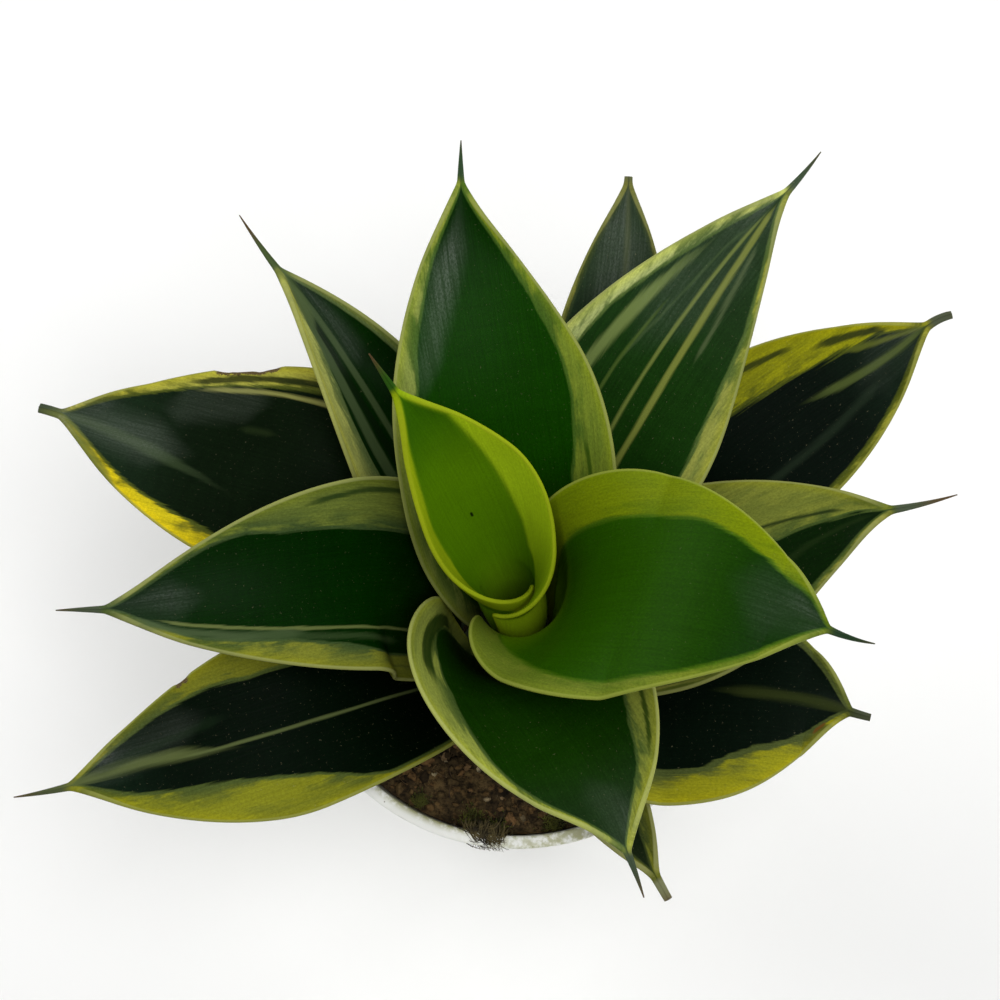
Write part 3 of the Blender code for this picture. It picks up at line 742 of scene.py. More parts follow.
crown_look, tree, shader = new_look("rhizome_skin")
place = object_place(tree)
bark = noise(place, 190.0, 5.0, 0.65)
crown_colour = mixed(graded(bark, 0.35, 0.7), CROWN_DARK, CROWN_TAN)
crown_green = graded(parts(place)["Z"], *CROWN_GREEN_HEIGHT)
crown_colour = mixed(crown_green, crown_colour, CROWN_GREEN)
feed(shader, Base_Color=crown_colour, Roughness=0.8, Normal=relief(bark, 0.6 * MM, 0.7))
finish_piece(crown, crown_look, "crown")


# The youngest leaves: a lime green one still rolled into a funnel at the heart, and the next,
# which unrolls from it to the right. All fourteen leaves are alike in make: stiff, thick and
# waxy, wrapped round the crown at the foot, pale along both margins and ending in a hard awn.
LEAF_FOOT = 90.0
BLADE_THICKNESS = 2.2
SHEATH_THICKNESS = 1.4
FULL_THICKNESS_FROM = 0.35
MARGIN_THICKNESS = 0.8
AWN_RADIUS = 1.25
AWN_POINT = 0.12
AWN_BLUNT = 0.3
AWN_RUN_IN = 8.0
BLADE_ROWS = 110
TIP_ROWS = 32
TIP_SHARE = 0.86
AWN_ROWS = 14
BLADE_COLUMNS = 56
MIDRIB_SAMPLES = 600
GATHER_START = 0.82
GATHER_ROLL = radians(70)
LEAST_ROLL = 0.02
SKIN_OFFSET = 400.0
LEAF_GLOSS = 0.025
SHEEN = 0.5
SHEEN_ROUGH = 0.36
# A grey painted sheen, mixed to this share into a leaf's colour over its shining places.
PAINTED_SHEEN_GREY = paint(92, 104, 88)
PAINTED_SHEEN_SHARE = 0.12
CALLUS_TAN = paint(104, 88, 58)
CALLUS_BROWN = paint(60, 48, 32)
AWN_TIP = paint(88, 70, 46)
DUST = paint(150, 142, 112)


class LeafForm(NamedTuple):
    """One leaf's shape. Lengths are in millimetres, angles in degrees; azimuth runs anticlockwise from +X."""

    tier: float  # radius at which the sheath wraps the crown
    base_azimuth: float
    base_lean: float  # steepness of the midrib as it leaves the crown
    tip_azimuth: float
    reach: float  # level distance from the crown's axis to the end of the blade
    height: float  # rise from the crown to the end of the blade
    tip_lean: float
    half_width: float
    tip_turn: float = 0.0
    widest: float = 0.5  # as a share of the blade's length
    base_share: float = 0.6  # width at the crown, as a share of the widest
    tip_fullness: float = 2.0
    cup: float = 8.0  # extra roll of the free blade
    wrap: float = 1.0
    most_roll: float = 158.0
    overlap: float = 0.0  # how far one margin of the sheath laps outside the other
    sheath_end: float = 0.25
    blade_start: float = 0.6
    twist_middle: float = 0.0
    twist_tip: float = 0.0
    pull_base: float = 0.42
    pull_tip: float = 0.36
    spike: float = 12.0  # the awn's length
    spike_turn: float = 0.0
    spike_lift: float = 0.0
    spike_end: float = 0.25  # the awn's radius at its end
    nicks: tuple = ()  # (side, place along the blade, half length, depth) of each bite out of a margin


class Streak(NamedTuple):
    """One streak, spot or shining place that runs with the veins.

    Places along the blade are shares of its length. Across, -1 is the clockwise margin, 0 the
    midrib and 1 the anticlockwise margin. Widths are millimetres.
    """

    start: float
    end: float
    across_start: float
    across_end: float
    half_width: float
    strength: float = 1.0
    soft: float = 0.6
    fade: float = 0.06
    wander: float = 1.6


def heading(azimuth, elevation):
    """Unit vector: (cos e cos a, cos e sin a, sin e)."""
    a, e = radians(azimuth), radians(elevation)
    return np.array([cos(e) * cos(a), cos(e) * sin(a), sin(e)])


def smooth(share):
    """3x^2 - 2x^3 with x held between 0 and 1."""
    share = np.clip(share, 0, 1)
    return share * share * (3 - 2 * share)


def leaf_midrib(form):
    """Cubic Bezier from the crown to the blade's end, then a short parabola along the awn.

    Returns the lengths along it, its points and the blade's length.
    """
    base = heading(form.base_azimuth, 0) * form.tier + [0, 0, LEAF_FOOT]
    tip = heading(form.tip_azimuth, 0) * form.reach + [0, 0, LEAF_FOOT + form.height]
    span = np.linalg.norm(tip - base)
    tip_turn = form.tip_azimuth + form.tip_turn
    into_tip = heading(tip_turn, form.tip_lean)
    out_of_tip = heading(tip_turn + form.spike_turn, form.tip_lean + form.spike_lift)
    first = base + heading(form.base_azimuth, form.base_lean) * span * form.pull_base
    second = tip - into_tip * span * form.pull_tip
    t = np.linspace(0, 1, MIDRIB_SAMPLES)[:, None]
    blade = (1 - t) ** 3 * base + 3 * (1 - t) ** 2 * t * first + 3 * (1 - t) * t**2 * second + t**3 * tip
    k = np.linspace(0, 1, MIDRIB_SAMPLES // 4)[1:, None]
    awn = tip + form.spike * (k * into_tip + k**2 * 0.5 * (out_of_tip - into_tip))
    line = np.vstack([blade, awn])
    along = np.r_[0, np.cumsum(np.linalg.norm(np.diff(line, axis=0), axis=1))]
    return along, line, along[MIDRIB_SAMPLES - 1]


def leaf_widths(form, along, blade_length, full_length):
    """Half width: a parabola from the crown to the widest place, a power curve from there to the tip."""
    t = np.clip(along / blade_length, 0, 1)
    swell = 1 - (1 - form.base_share) * ((form.widest - t) / form.widest) ** 2
    close = 1 - (np.clip(t - form.widest, 0, 1) / (1 - form.widest)) ** form.tip_fullness
    blade = form.half_width * np.clip(np.where(t < form.widest, swell, close), 0, None)
    run_in = blade_length - AWN_RUN_IN
    down = np.clip((along - run_in) / (full_length - run_in), 0, 1)
    end = form.spike_end if form.spike_end > AWN_BLUNT else AWN_POINT
    awn = AWN_RADIUS * (1 - down) + end * down
    return (blade**4 + awn**4) ** 0.25, awn


def leaf_surface(form):
    """Rows of arcs along the midrib: level round the crown in the sheath, square to the midrib in the blade.

    Returns the middle surface, its normals, half the thickness, and the coordinates on the skin.
    """
    along, line, blade_length = leaf_midrib(form)
    full_length = along[-1]
    rows = np.r_[
        np.linspace(0, TIP_SHARE, BLADE_ROWS) * blade_length,
        np.linspace(TIP_SHARE, 1.0, TIP_ROWS)[1:] * blade_length,
        blade_length + np.linspace(0, 1, AWN_ROWS)[1:] * (full_length - blade_length),
    ]
    behind, middle, ahead = (
        np.stack([np.interp(rows + shift, along, axis) for axis in line.T], 1) for shift in (-0.5, 0, 0.5)
    )
    forward = (ahead - behind) / np.linalg.norm(ahead - behind, axis=1)[:, None]
    t = np.clip(rows / blade_length, 0, 1)

    free = smooth((t - form.sheath_end) / (form.blade_start - form.sheath_end))
    slope = np.arcsin(np.clip(forward[:, 2], -1, 1))
    lean = pi / 2 + (slope - pi / 2) * free
    radius = np.hypot(middle[:, 0], middle[:, 1])
    radial = middle[:, :2] / radius[:, None]
    outward = forward[:, :2] / np.hypot(forward[:, 0], forward[:, 1])[:, None]
    facing = radial * (1 - free)[:, None] + outward * free[:, None]
    azimuth = np.arctan2(facing[:, 1], facing[:, 0])
    east, north = np.cos(azimuth), np.sin(azimuth)
    across = np.stack([-north, east, 0 * azimuth], 1)
    upward = np.stack([-np.sin(lean) * east, -np.sin(lean) * north, np.cos(lean)], 1)
    twist = radians(form.twist_middle) * 4 * t * (1 - t)
    twist = (twist + radians(form.twist_tip) * t * (2 * t - 1) * (t > 0.5))[:, None]
    side = across * np.cos(twist) + upward * np.sin(twist)
    face = upward * np.cos(twist) - across * np.sin(twist)

    width, awn = leaf_widths(form, rows, blade_length, full_length)
    roll = width * np.sin(lean) / np.maximum(radius, form.tier)
    roll = roll * (form.wrap * (1 - free) + free) + radians(form.cup) * free
    gather = smooth((t - GATHER_START) / (1 - GATHER_START))
    roll = roll * (1 - gather) + np.maximum(roll, GATHER_ROLL) * gather
    roll = np.clip(roll, LEAST_ROLL, radians(form.most_roll))[:, None]

    whole = np.sin(np.linspace(-pi / 2, pi / 2, BLADE_COLUMNS + 1))[None, :] * np.ones((len(rows), 1))
    v, bitten = whole, 0 * whole
    for margin, place, half_length, depth in form.nicks:
        bite = depth / width * np.exp(-(((t - place) / half_length) ** 4)) * (rows < blade_length)
        bitten = bitten + (bite * width)[:, None] * (v * margin > 0)
        v = np.where(v * margin > 0, v * (1 - bite)[:, None], v)
    wide = width[:, None]
    bend = wide / roll * (1 + form.overlap * v)
    surface = middle[:, None, :] + (bend * np.sin(roll * v))[..., None] * side[:, None, :]
    surface = surface + (bend * (1 - np.cos(roll * v)))[..., None] * face[:, None, :]
    normal = np.cross(np.gradient(surface, axis=0), np.gradient(surface, axis=1))
    normal[0, :, 2] = 0
    normal = normal / np.linalg.norm(normal, axis=2)[..., None]

    body = SHEATH_THICKNESS + (BLADE_THICKNESS - SHEATH_THICKNESS) * smooth(t / FULL_THICKNESS_FROM)
    into_awn = smooth((rows - blade_length + AWN_RUN_IN) / AWN_RUN_IN)
    body = body * (1 - into_awn) + np.minimum(body, 2 * awn) * into_awn
    edge = np.minimum(MARGIN_THICKNESS, body) * (1 - into_awn)
    half = 0.5 * (edge[:, None] + (body - edge)[:, None] * np.sqrt(np.clip(1 - whole**2, 0, 1)))
    rim = np.minimum(0.5 * edge, 0.5 * width)[:, None] + 1e-6
    to_edge = (1 - np.abs(whole)) * wide
    half = half * np.sqrt(1 - 0.998 * np.clip(1 - to_edge / rim, 0, 1) ** 2)
    length = np.broadcast_to(rows[:, None], v.shape)
    skin = {
        "share": np.stack([0.5 + 0.5 * v, length / blade_length], 2),
        "rim_mm": np.stack([(1 + v) * wide, (1 - v) * wide], 2),
        "edge_mm": np.stack([to_edge, bitten], 2),
        "skin_mm": np.stack([v * wide, length], 2),
    }
    return surface, normal, half, skin


def close_leaf(name, form, pale, order):
    """Upper and lower faces at the middle surface plus and minus half the thickness, joined round the edge.

    pale gives (share along the blade, width in millimetres) of the pale margin, the clockwise side
    and then the anticlockwise side; the width in between follows straight lines.
    """
    surface, normal, half, skin = leaf_surface(form)
    rows, columns = half.shape
    lift = normal * half[..., None]
    points = np.concatenate([(surface + lift).reshape(-1, 3), (surface - lift).reshape(-1, 3)])
    index = np.arange(rows * columns).reshape(rows, columns)
    under = rows * columns
    a, b = index[:-1, :-1].ravel(), index[1:, :-1].ravel()
    c, d = index[1:, 1:].ravel(), index[:-1, 1:].ravel()
    faces = [np.stack([a, b, c], 1), np.stack([a, c, d], 1)]
    faces += [np.stack([a, c, b], 1) + under, np.stack([a, d, c], 1) + under]
    for rim in (index[:, 0], index[-1, :], index[::-1, -1], index[0, ::-1]):
        p, q = rim[:-1], rim[1:]
        faces += [np.stack([p, p + under, q + under], 1), np.stack([p, q + under, q], 1)]
    along = skin["share"][..., 1]
    skin["pale_mm"] = np.stack([np.interp(along, *np.array(side).T) for side in pale], -1)
    skin["skin_mm"] = skin["skin_mm"] + [0, SKIN_OFFSET * order]
    maps = {key: np.concatenate([value.reshape(-1, 2)] * 2) for key, value in skin.items()}
    return lay_mesh(name, points, np.concatenate(faces), maps)


def skin_noise(skin, across, along, detail, rough):
    """Noise on the skin's millimetres, with so many cells a millimetre across the leaf and along it."""
    scaled = join("ShaderNodeVectorMath", {"operation": "MULTIPLY"}, skin, (across, along, 1.0))[0]
    return noise(scaled, 1.0, detail, rough, {"noise_dimensions": "2D"})


def toned(share, colour, value, least, most, spread=0.2):
    """A colour made darker and lighter by a noise that lies about 0.5, to the given share."""
    tone = graded(value, 0.5 - spread, 0.5 + spread, least, most)
    return mixed(share, colour, mixed(1.0, colour, tone, "MULTIPLY"))


def new_group(name, inputs, outputs):
    """An empty shader group with its sockets; an input is a name and its starting value."""
    group = bpy.data.node_groups.new(name, "ShaderNodeTree")
    for label, start in inputs.items():
        kind = "NodeSocketFloat" if isinstance(start, float) else "NodeSocketColor"
        group.interface.new_socket(name=label, in_out="INPUT", socket_type=kind).default_value = start
    for label, kind in outputs.items():
        group.interface.new_socket(name=label, in_out="OUTPUT", socket_type=kind)
    return group, group.nodes.new("NodeGroupInput").outputs, group.nodes.new("NodeGroupOutput")


# leaf_streak: a lighter or darker streak that runs with the veins from Start to End, with pointed
# ends. Its middle goes from Across Start to Across End.
streak_inputs = {
    "Start": 0.2, "End": 0.9, "Across Start": 0.0, "Across End": 0.0, "Half Width": 1.0, "Soft": 0.6,
    "Fade": 0.06, "Wander": 1.6,
}
streak_group, given, gives = new_group("leaf_streak", streak_inputs, {"Mask": "NodeSocketFloat"})
share, rims = map_values(streak_group, "share"), map_values(streak_group, "rim_mm")
skin = put(streak_group, "ShaderNodeUVMap", {"uv_map": "skin_mm"}).outputs[0]
here = times_plus(share["X"], 2.0, -1.0)
half_leaf = times(plus(rims["X"], rims["Y"]), 0.5)
centre = join(
    "ShaderNodeMapRange", {"clamp": False},
    share["Y"], given["Start"], given["End"], given["Across Start"], given["Across End"],
)[0]
off = times(minus(here, centre), half_leaf)
wander = minus(skin_noise(skin, 0.25, 0.03, 3.0, 0.6), 0.5)
off = maths("ABSOLUTE", times_plus(wander, given["Wander"], off))
ragged = minus(skin_noise(skin, 1.6, 0.05, 3.0, 0.6), 0.5)
off = times_plus(ragged, times(given["Wander"], 0.6), off)
head = ramp_up(share["Y"], minus(given["Start"], given["Fade"]), given["Start"])
tail = ramp_up(share["Y"], plus(given["End"], given["Fade"]), given["End"])
ends = times(head, tail)
off = maths("DIVIDE", off, times_plus(ends, 0.8, 0.2))
inner = minus(given["Half Width"], given["Soft"])
outer = plus(given["Half Width"], given["Soft"])
feed(gives, Mask=times(ramp_up(off, outer, inner), ends))

# leaf_skin: green blade, pale margins whose inner edge runs out in lengthwise fingers, a grey-green
# step between the two, fine fibres, faint cross bands, a thin light rim that is a painted highlight
# where the edge catches the light, the awn and dust. A bitten margin has a brown callus.
skin_inputs = {
    "Foot": paint(70, 84, 30), "Blade": paint(18, 44, 6), "Tip": paint(24, 40, 16),
    "Clockwise Pale": paint(105, 112, 40), "Anticlockwise Pale": paint(105, 112, 40),
    "Step": paint(52, 68, 30), "Rim": paint(132, 136, 66), "Awn": paint(58, 68, 44), "Tip Start": 0.7,
    "Fingers": 2.4, "Step Width": 0.8, "Edge Soft": 0.35, "Bands": 0.2, "Fibres": 0.3, "Dust": 0.25,
    "Mottle": 0.8, "Grain": 0.6,
}
skin_outputs = {
    "Colour": "NodeSocketColor", "Roughness": "NodeSocketFloat", "Height": "NodeSocketFloat",
    "Wax": "NodeSocketFloat",
}
skin_group, given, gives = new_group("leaf_skin", skin_inputs, skin_outputs)
share, rims, pales, edges = (
    map_values(skin_group, name) for name in ("share", "rim_mm", "pale_mm", "edge_mm")
)
skin = put(skin_group, "ShaderNodeUVMap", {"uv_map": "skin_mm"}).outputs[0]
along, to_edge, bitten = share["Y"], edges["X"], edges["Y"]
fibres = skin_noise(skin, 1.5, 0.045, 4.0, 0.65)
fine_fibres = skin_noise(skin, 5.0, 0.12, 3.0, 0.6)
bands = skin_noise(skin, 0.07, 0.32, 4.0, 0.6)
fingers = skin_noise(skin, 0.9, 0.03, 3.0, 0.6)
pits = skin_noise(skin, 4.0, 4.0, 3.0, 0.7)
creases = skin_noise(skin, 0.35, 2.2, 2.0, 0.5)
specks = skin_noise(skin, 1.1, 1.1, 5.0, 0.75)
blotches = skin_noise(skin, 0.16, 0.05, 4.0, 0.65)
grains = skin_noise(skin, 2.2, 1.4, 4.0, 0.7)

green = mixed(ramp_up(along, 0.08, 0.42), given["Foot"], given["Blade"])
tip_end = plus(given["Tip Start"], 0.25)
green = mixed(ramp_up(along, given["Tip Start"], tip_end), green, given["Tip"])
colour = toned(given["Bands"], green, bands, 1.35, 0.65, 0.15)
jag = times(minus(fingers, 0.5), given["Fingers"])
soft_low = times(given["Edge Soft"], -1.0)
for side, pale in (("X", given["Clockwise Pale"]), ("Y", given["Anticlockwise Pale"])):
    side_jag = times(jag, ramp_up(pales[side], 0.5, 5.0, 0.15, 1.0))
    inside = minus(plus(pales[side], side_jag), rims[side])
    stepped = plus(inside, given["Step Width"])
    shown = ramp_up(pales[side], 0.05, 0.5)
    step = times(ramp_up(stepped, soft_low, given["Edge Soft"]), shown)
    full = times(ramp_up(inside, soft_low, given["Edge Soft"]), shown)
    greyer = times(ramp_up(inside, 5.0, 0.0, 0.25, 0.7), given["Mottle"])
    greyer = times(greyer, ramp_up(blotches, 0.4, 0.6, 0.2, 1.7))
    pale = mixed(greyer, pale, given["Step"])
    yellow = times(ramp_up(rims[side], 3.2, 0.6), given["Mottle"])
    pale = mixed(yellow, pale, mixed(1.0, pale, (1.25, 1.18, 0.7, 1), "MULTIPLY"))
    colour = mixed(full, mixed(step, colour, given["Step"]), pale)
colour = toned(given["Grain"], colour, grains, 0.7, 1.3)
colour = toned(given["Fibres"], colour, fibres, 0.6, 1.4)
# Painted highlight: the Rim colour in a thin line along the edge, where the edge catches the light.
lit_edge_mask = times(ramp_up(to_edge, 0.8, 0.35), ramp_up(along, 0.99, 0.93))
colour = mixed(times(lit_edge_mask, 0.75), colour, given["Rim"])
callus = minus(times_plus(specks, 3.6, -0.6), to_edge)
callus = times(ramp_up(callus, -0.2, 0.3), ramp_up(bitten, 0.1, 0.45))
callus_colour = mixed(ramp_up(pits, 0.42, 0.6), CALLUS_TAN, CALLUS_BROWN)
colour = mixed(callus, colour, callus_colour)
awn_mask = ramp_up(along, 0.985, 1.01)
awn_colour = mixed(ramp_up(along, 1.03, 1.13), given["Awn"], AWN_TIP)
colour = mixed(awn_mask, colour, awn_colour)
dust_mask = times(ramp_up(specks, 0.66, 0.74), given["Dust"])
colour = mixed(dust_mask, colour, DUST)
rough = times_plus(awn_mask, 0.12, graded(specks, 0.3, 0.75, 0.34, 0.46))
rough = times_plus(callus, 0.25, rough)
height = times(fine_fibres, 0.012)
for grown, depth in ((fibres, 0.05), (pits, 0.008), (creases, 0.008)):
    height = times_plus(grown, depth, height)
rubbed = ramp_up(grains, 0.36, 0.64, 0.3, 1.0)
rubbed = times(rubbed, ramp_up(fibres, 0.36, 0.64, 0.25, 1.0))
feed(gives, Colour=colour, Roughness=rough, Height=height, Wax=rubbed)


def streak_mask(tree, streak):
    """Where one streak lies, times its strength."""
    sockets = {name.title(): value for name, value in streak._asdict().items() if name != "strength"}
    made = put(tree, "ShaderNodeGroup", {"node_tree": streak_group}, **sockets)
    return times(made.outputs["Mask"], streak.strength)


def leaf_look(name, skin, streaks, shine):
    """Leaf material: the skin group with this leaf's values, then its streaks and its shining places,
    where the coat is glossy and a grey painted sheen is mixed into the colour.

    Colours are given as the eye sees them.
    """
    look, tree, shader = new_look(name)
    base = put(tree, "ShaderNodeGroup", {"node_tree": skin_group})
    for label, value in skin.items():
        base.inputs[label].default_value = paint(*value) if isinstance(value, tuple) else value
    colour = base.outputs["Colour"]
    for tint, streak in streaks:
        colour = mixed(streak_mask(tree, streak), colour, paint(*tint))
    gloss_and_painted_sheen = 0.0
    for streak in shine:
        gloss_and_painted_sheen = maths("MAXIMUM", gloss_and_painted_sheen, streak_mask(tree, streak))
    # Painted sheen: grey mixed into the colour over the shining places, beside the coat's real gloss.
    if shine:
        colour = mixed(times(gloss_and_painted_sheen, PAINTED_SHEEN_SHARE), colour, PAINTED_SHEEN_GREY)
        feed(shader, Coat_Weight=times(times(gloss_and_painted_sheen, base.outputs["Wax"]), SHEEN), Coat_Roughness=SHEEN_ROUGH)
    normal = relief(base.outputs["Height"], 1 * MM, 1.0)
    feed(shader, Base_Color=colour, Roughness=base.outputs["Roughness"], Normal=normal)
    feed(shader, Specular_IOR_Level=LEAF_GLOSS)
    return look


def grow_leaf(order, form, clockwise, anticlockwise, skin, streaks=(), shine=()):
    """One leaf, closed and coloured, in the place of its CAD node."""
    node = f"leaf_{order:02d}"
    leaf = close_leaf(f"{node}_blade", form, (clockwise, anticlockwise), order)
    finish_piece(leaf, leaf_look(f"{node}_skin", skin, streaks, shine), node)


YOUNG_FORM = LeafForm(
    tier=4, base_azimuth=114.5, base_lean=83.5, tip_azimuth=130.5, reach=44, height=92,
    tip_lean=58, half_width=31.5, tip_turn=7.5, widest=0.34, base_share=0.62, tip_fullness=1.2,
    cup=27.5, wrap=1.61, most_roll=234, overlap=-0.09, sheath_end=0.53, blade_start=0.7,
    twist_middle=-4.5, pull_base=0.27, pull_tip=0.45, spike=13.5, spike_turn=8, spike_lift=11,
)
grow_leaf(
    1, YOUNG_FORM,
    clockwise=(
        (0, 12), (0.36, 16), (0.42, 16.3), (0.51, 12.7), (0.59, 10.2), (0.64, 8.4), (0.72, 5.5),
        (0.79, 3), (0.86, 0.5), (1, 0.4),
    ),
    anticlockwise=(
        (0, 8), (0.44, 9), (0.48, 9.6), (0.52, 10), (0.63, 5.5), (0.75, 3.6), (0.87, 1.2), (1, 0.4),
    ),
    skin={
        # Foot is the leaf's paler base, lightened further as painted light against the shade deep in the
        # funnel.
        "Foot": (108, 146, 16), "Blade": (78, 118, 4), "Tip": (50, 92, 4), "Tip Start": 0.66,
        "Clockwise Pale": (152, 180, 22), "Anticlockwise Pale": (146, 164, 18),
        "Step": (92, 126, 10), "Rim": (146, 160, 26), "Awn": (44, 82, 20), "Fingers": 1.2,
        "Edge Soft": 0.8, "Bands": 0.06, "Fibres": 0.18, "Dust": 0.08, "Mottle": 0.15,
        "Grain": 0.35,
    },
    streaks=(
        ((14, 26, 6), Streak(0.526, 0.536, 0.0, 0.0, 0.35, soft=0.25, fade=0.006, wander=0.2)),
    ),
)

SECOND_FORM = LeafForm(
    tier=9.3, base_azimuth=-39, base_lean=87.5, tip_azimuth=-18.5, reach=71, height=92.5,
    tip_lean=-15, half_width=29.5, tip_turn=-2, widest=0.52, base_share=0.34, tip_fullness=2.23,
    cup=-42, sheath_end=0.19, blade_start=0.46, twist_middle=-8, pull_base=0.71, pull_tip=0.38,
    spike=10.5, spike_turn=14, spike_lift=3,
)
grow_leaf(
    2, SECOND_FORM,
    clockwise=(
        (0, 7), (0.25, 8), (0.34, 8.3), (0.42, 8.1), (0.53, 5.6), (0.6, 3.9), (0.71, 3),
        (0.78, 1.9), (0.9, 1.6), (1, 0.4),
    ),
    anticlockwise=(
        (0, 7), (0.36, 10.6), (0.5, 11.3), (0.6, 11.1), (0.69, 9.5), (0.75, 7.2), (0.85, 5.1),
        (0.91, 3.7), (0.95, 0.6), (1, 0.4),
    ),
    skin={
        # Foot is the leaf's paler base, lightened further as painted light against the shade where it rises
        # beside the funnel.
        "Foot": (118, 160, 4), "Blade": (32, 70, 0), "Tip": (14, 44, 4), "Tip Start": 0.66,
        "Clockwise Pale": (102, 116, 36), "Anticlockwise Pale": (106, 122, 8), "Step": (60, 90, 12),
        "Rim": (136, 146, 60), "Awn": (34, 56, 34), "Fingers": 1.8, "Edge Soft": 0.5, "Bands": 0.1,
        "Fibres": 0.2, "Dust": 0.15, "Mottle": 0.4,
    },
    shine=(Streak(0.88, 0.97, 0.1, 0.0, 7.0, 0.45, soft=5.0, fade=0.08),),
)


# The grown leaves: six broad dark green leaves round the heart, with lime and grey-green margins
# that run out in fingers, and long pale streaks on the one at the upper right. The one at the
# upper left is folded along its midrib, and the front one swings round from the left.
THIRD_FORM = LeafForm(
    tier=10.9, base_azimuth=88.5, base_lean=79, tip_azimuth=98.5, reach=94, height=78,
    tip_lean=24.5, half_width=31, tip_turn=-8, widest=0.41, base_share=0.58, tip_fullness=1.5,
    cup=14, sheath_end=0.28, blade_start=0.64, twist_middle=1.5, pull_base=0.5, pull_tip=0.28,
    spike=9, spike_turn=-2,
)
grow_leaf(
    3, THIRD_FORM,
    clockwise=(
        (0, 12), (0.4, 12.9), (0.45, 10.9), (0.5, 9), (0.54, 7.1), (0.61, 5.3), (0.67, 4.2),
        (0.9, 1.2), (1, 0.3),
    ),
    anticlockwise=((0, 6), (0.5, 6.6), (0.61, 6.2), (0.69, 4.4), (0.9, 1.4), (1, 0.3)),
    skin={
        "Foot": (40, 78, 6), "Blade": (14, 54, 0), "Tip": (8, 38, 2),
        "Clockwise Pale": (112, 128, 40), "Anticlockwise Pale": (130, 142, 66),
        "Step": (62, 90, 28), "Rim": (140, 146, 80), "Awn": (50, 72, 46), "Fingers": 1.2,
        "Bands": 0.15, "Dust": 0.2,
    },
    streaks=(
        ((38, 70, 10), Streak(0.41, 0.45, -0.745, -0.745, 0.6, 0.8, soft=0.4, fade=0.03, wander=0.6)),
    ),
    shine=(Streak(0.66, 0.84, 0.62, 0.42, 3.2, 0.9, soft=3.0, fade=0.12),),
)

FRONT_FORM = LeafForm(
    tier=13.8, base_azimuth=250, base_lean=65, tip_azimuth=289.5, reach=72, height=69,
    tip_lean=14.5, half_width=33, widest=0.43, base_share=0.43, tip_fullness=1.8, cup=21.5,
    sheath_end=0.18, blade_start=0.84, twist_middle=-7.5, pull_base=0.44, pull_tip=0.6,
    spike=10.5, spike_turn=-4, spike_lift=2,
)
grow_leaf(
    4, FRONT_FORM,
    clockwise=(
        (0, 8), (0.25, 8.2), (0.32, 8.4), (0.42, 12), (0.51, 11.5), (0.62, 6.5), (0.7, 3.2),
        (0.76, 1.7), (0.9, 1.2), (1, 0.3),
    ),
    anticlockwise=((0, 8), (0.6, 8.6), (0.73, 8), (0.82, 5), (0.9, 3.6), (1, 0.6)),
    skin={
        "Foot": (22, 48, 6), "Blade": (16, 46, 2), "Tip": (26, 46, 20),
        "Clockwise Pale": (142, 152, 66), "Anticlockwise Pale": (134, 142, 56),
        "Step": (66, 86, 38), "Rim": (158, 164, 92), "Awn": (60, 72, 54), "Fingers": 1.0,
    },
    streaks=(
        ((26, 54, 8), Streak(0.6, 0.78, 0.8, 0.87, 0.6, 0.85, soft=0.4)),
        ((22, 48, 10), Streak(0.2, 0.46, -0.79, -0.76, 2.0, 0.9, soft=0.6, fade=0.06)),
    ),
    shine=(Streak(0.86, 0.97, 0.0, 0.2, 4.0, 0.6, soft=3.0, fade=0.08),),
)

LEFT_FORM = LeafForm(
    tier=15.5, base_azimuth=154.5, base_lean=70, tip_azimuth=185, reach=100, height=55,
    tip_lean=0, half_width=28.5, tip_turn=-5, widest=0.25, base_share=0.87, tip_fullness=1.8,
    cup=24, sheath_end=0.27, blade_start=0.45, twist_middle=-18.5, pull_base=0.45,
    pull_tip=0.31, spike=10.5, spike_turn=2, spike_lift=-1,
)
grow_leaf(
    5, LEFT_FORM,
    clockwise=(
        (0, 13), (0.35, 14.8), (0.41, 14.3), (0.51, 10.8), (0.6, 7.7), (0.67, 3.5), (0.75, 1.5),
        (1, 0.3),
    ),
    anticlockwise=(
        (0, 6.5), (0.22, 6.7), (0.4, 5.8), (0.51, 6.8), (0.61, 6.4), (0.7, 4.4), (0.8, 1.8),
        (0.95, 1.2), (1, 0.3),
    ),
    skin={
        "Foot": (10, 34, 2), "Blade": (3, 32, 0), "Tip": (12, 34, 12), "Tip Start": 0.76,
        "Clockwise Pale": (106, 118, 48), "Anticlockwise Pale": (118, 122, 40),
        "Step": (56, 74, 38), "Rim": (140, 144, 84), "Awn": (66, 76, 56), "Fingers": 1.2,
    },
    streaks=(
        ((26, 50, 20), Streak(0.36, 0.5, -0.87, -0.84, 0.8, 0.8, soft=0.5, fade=0.08)),
        ((96, 106, 58), Streak(0.16, 0.84, 0.5, 0.55, 0.42, 0.9, soft=0.3, wander=0.9)),
        ((72, 88, 56), Streak(0.62, 0.9, 0.6, 0.8, 1.0, 0.75, soft=0.8)),
        ((54, 72, 40), Streak(0.3, 0.66, 0.63, 0.62, 0.9, 0.6, soft=0.7)),
    ),
    shine=(Streak(0.86, 0.97, 0.0, 0.1, 5.0, 0.5, soft=4.0, fade=0.1),),
)

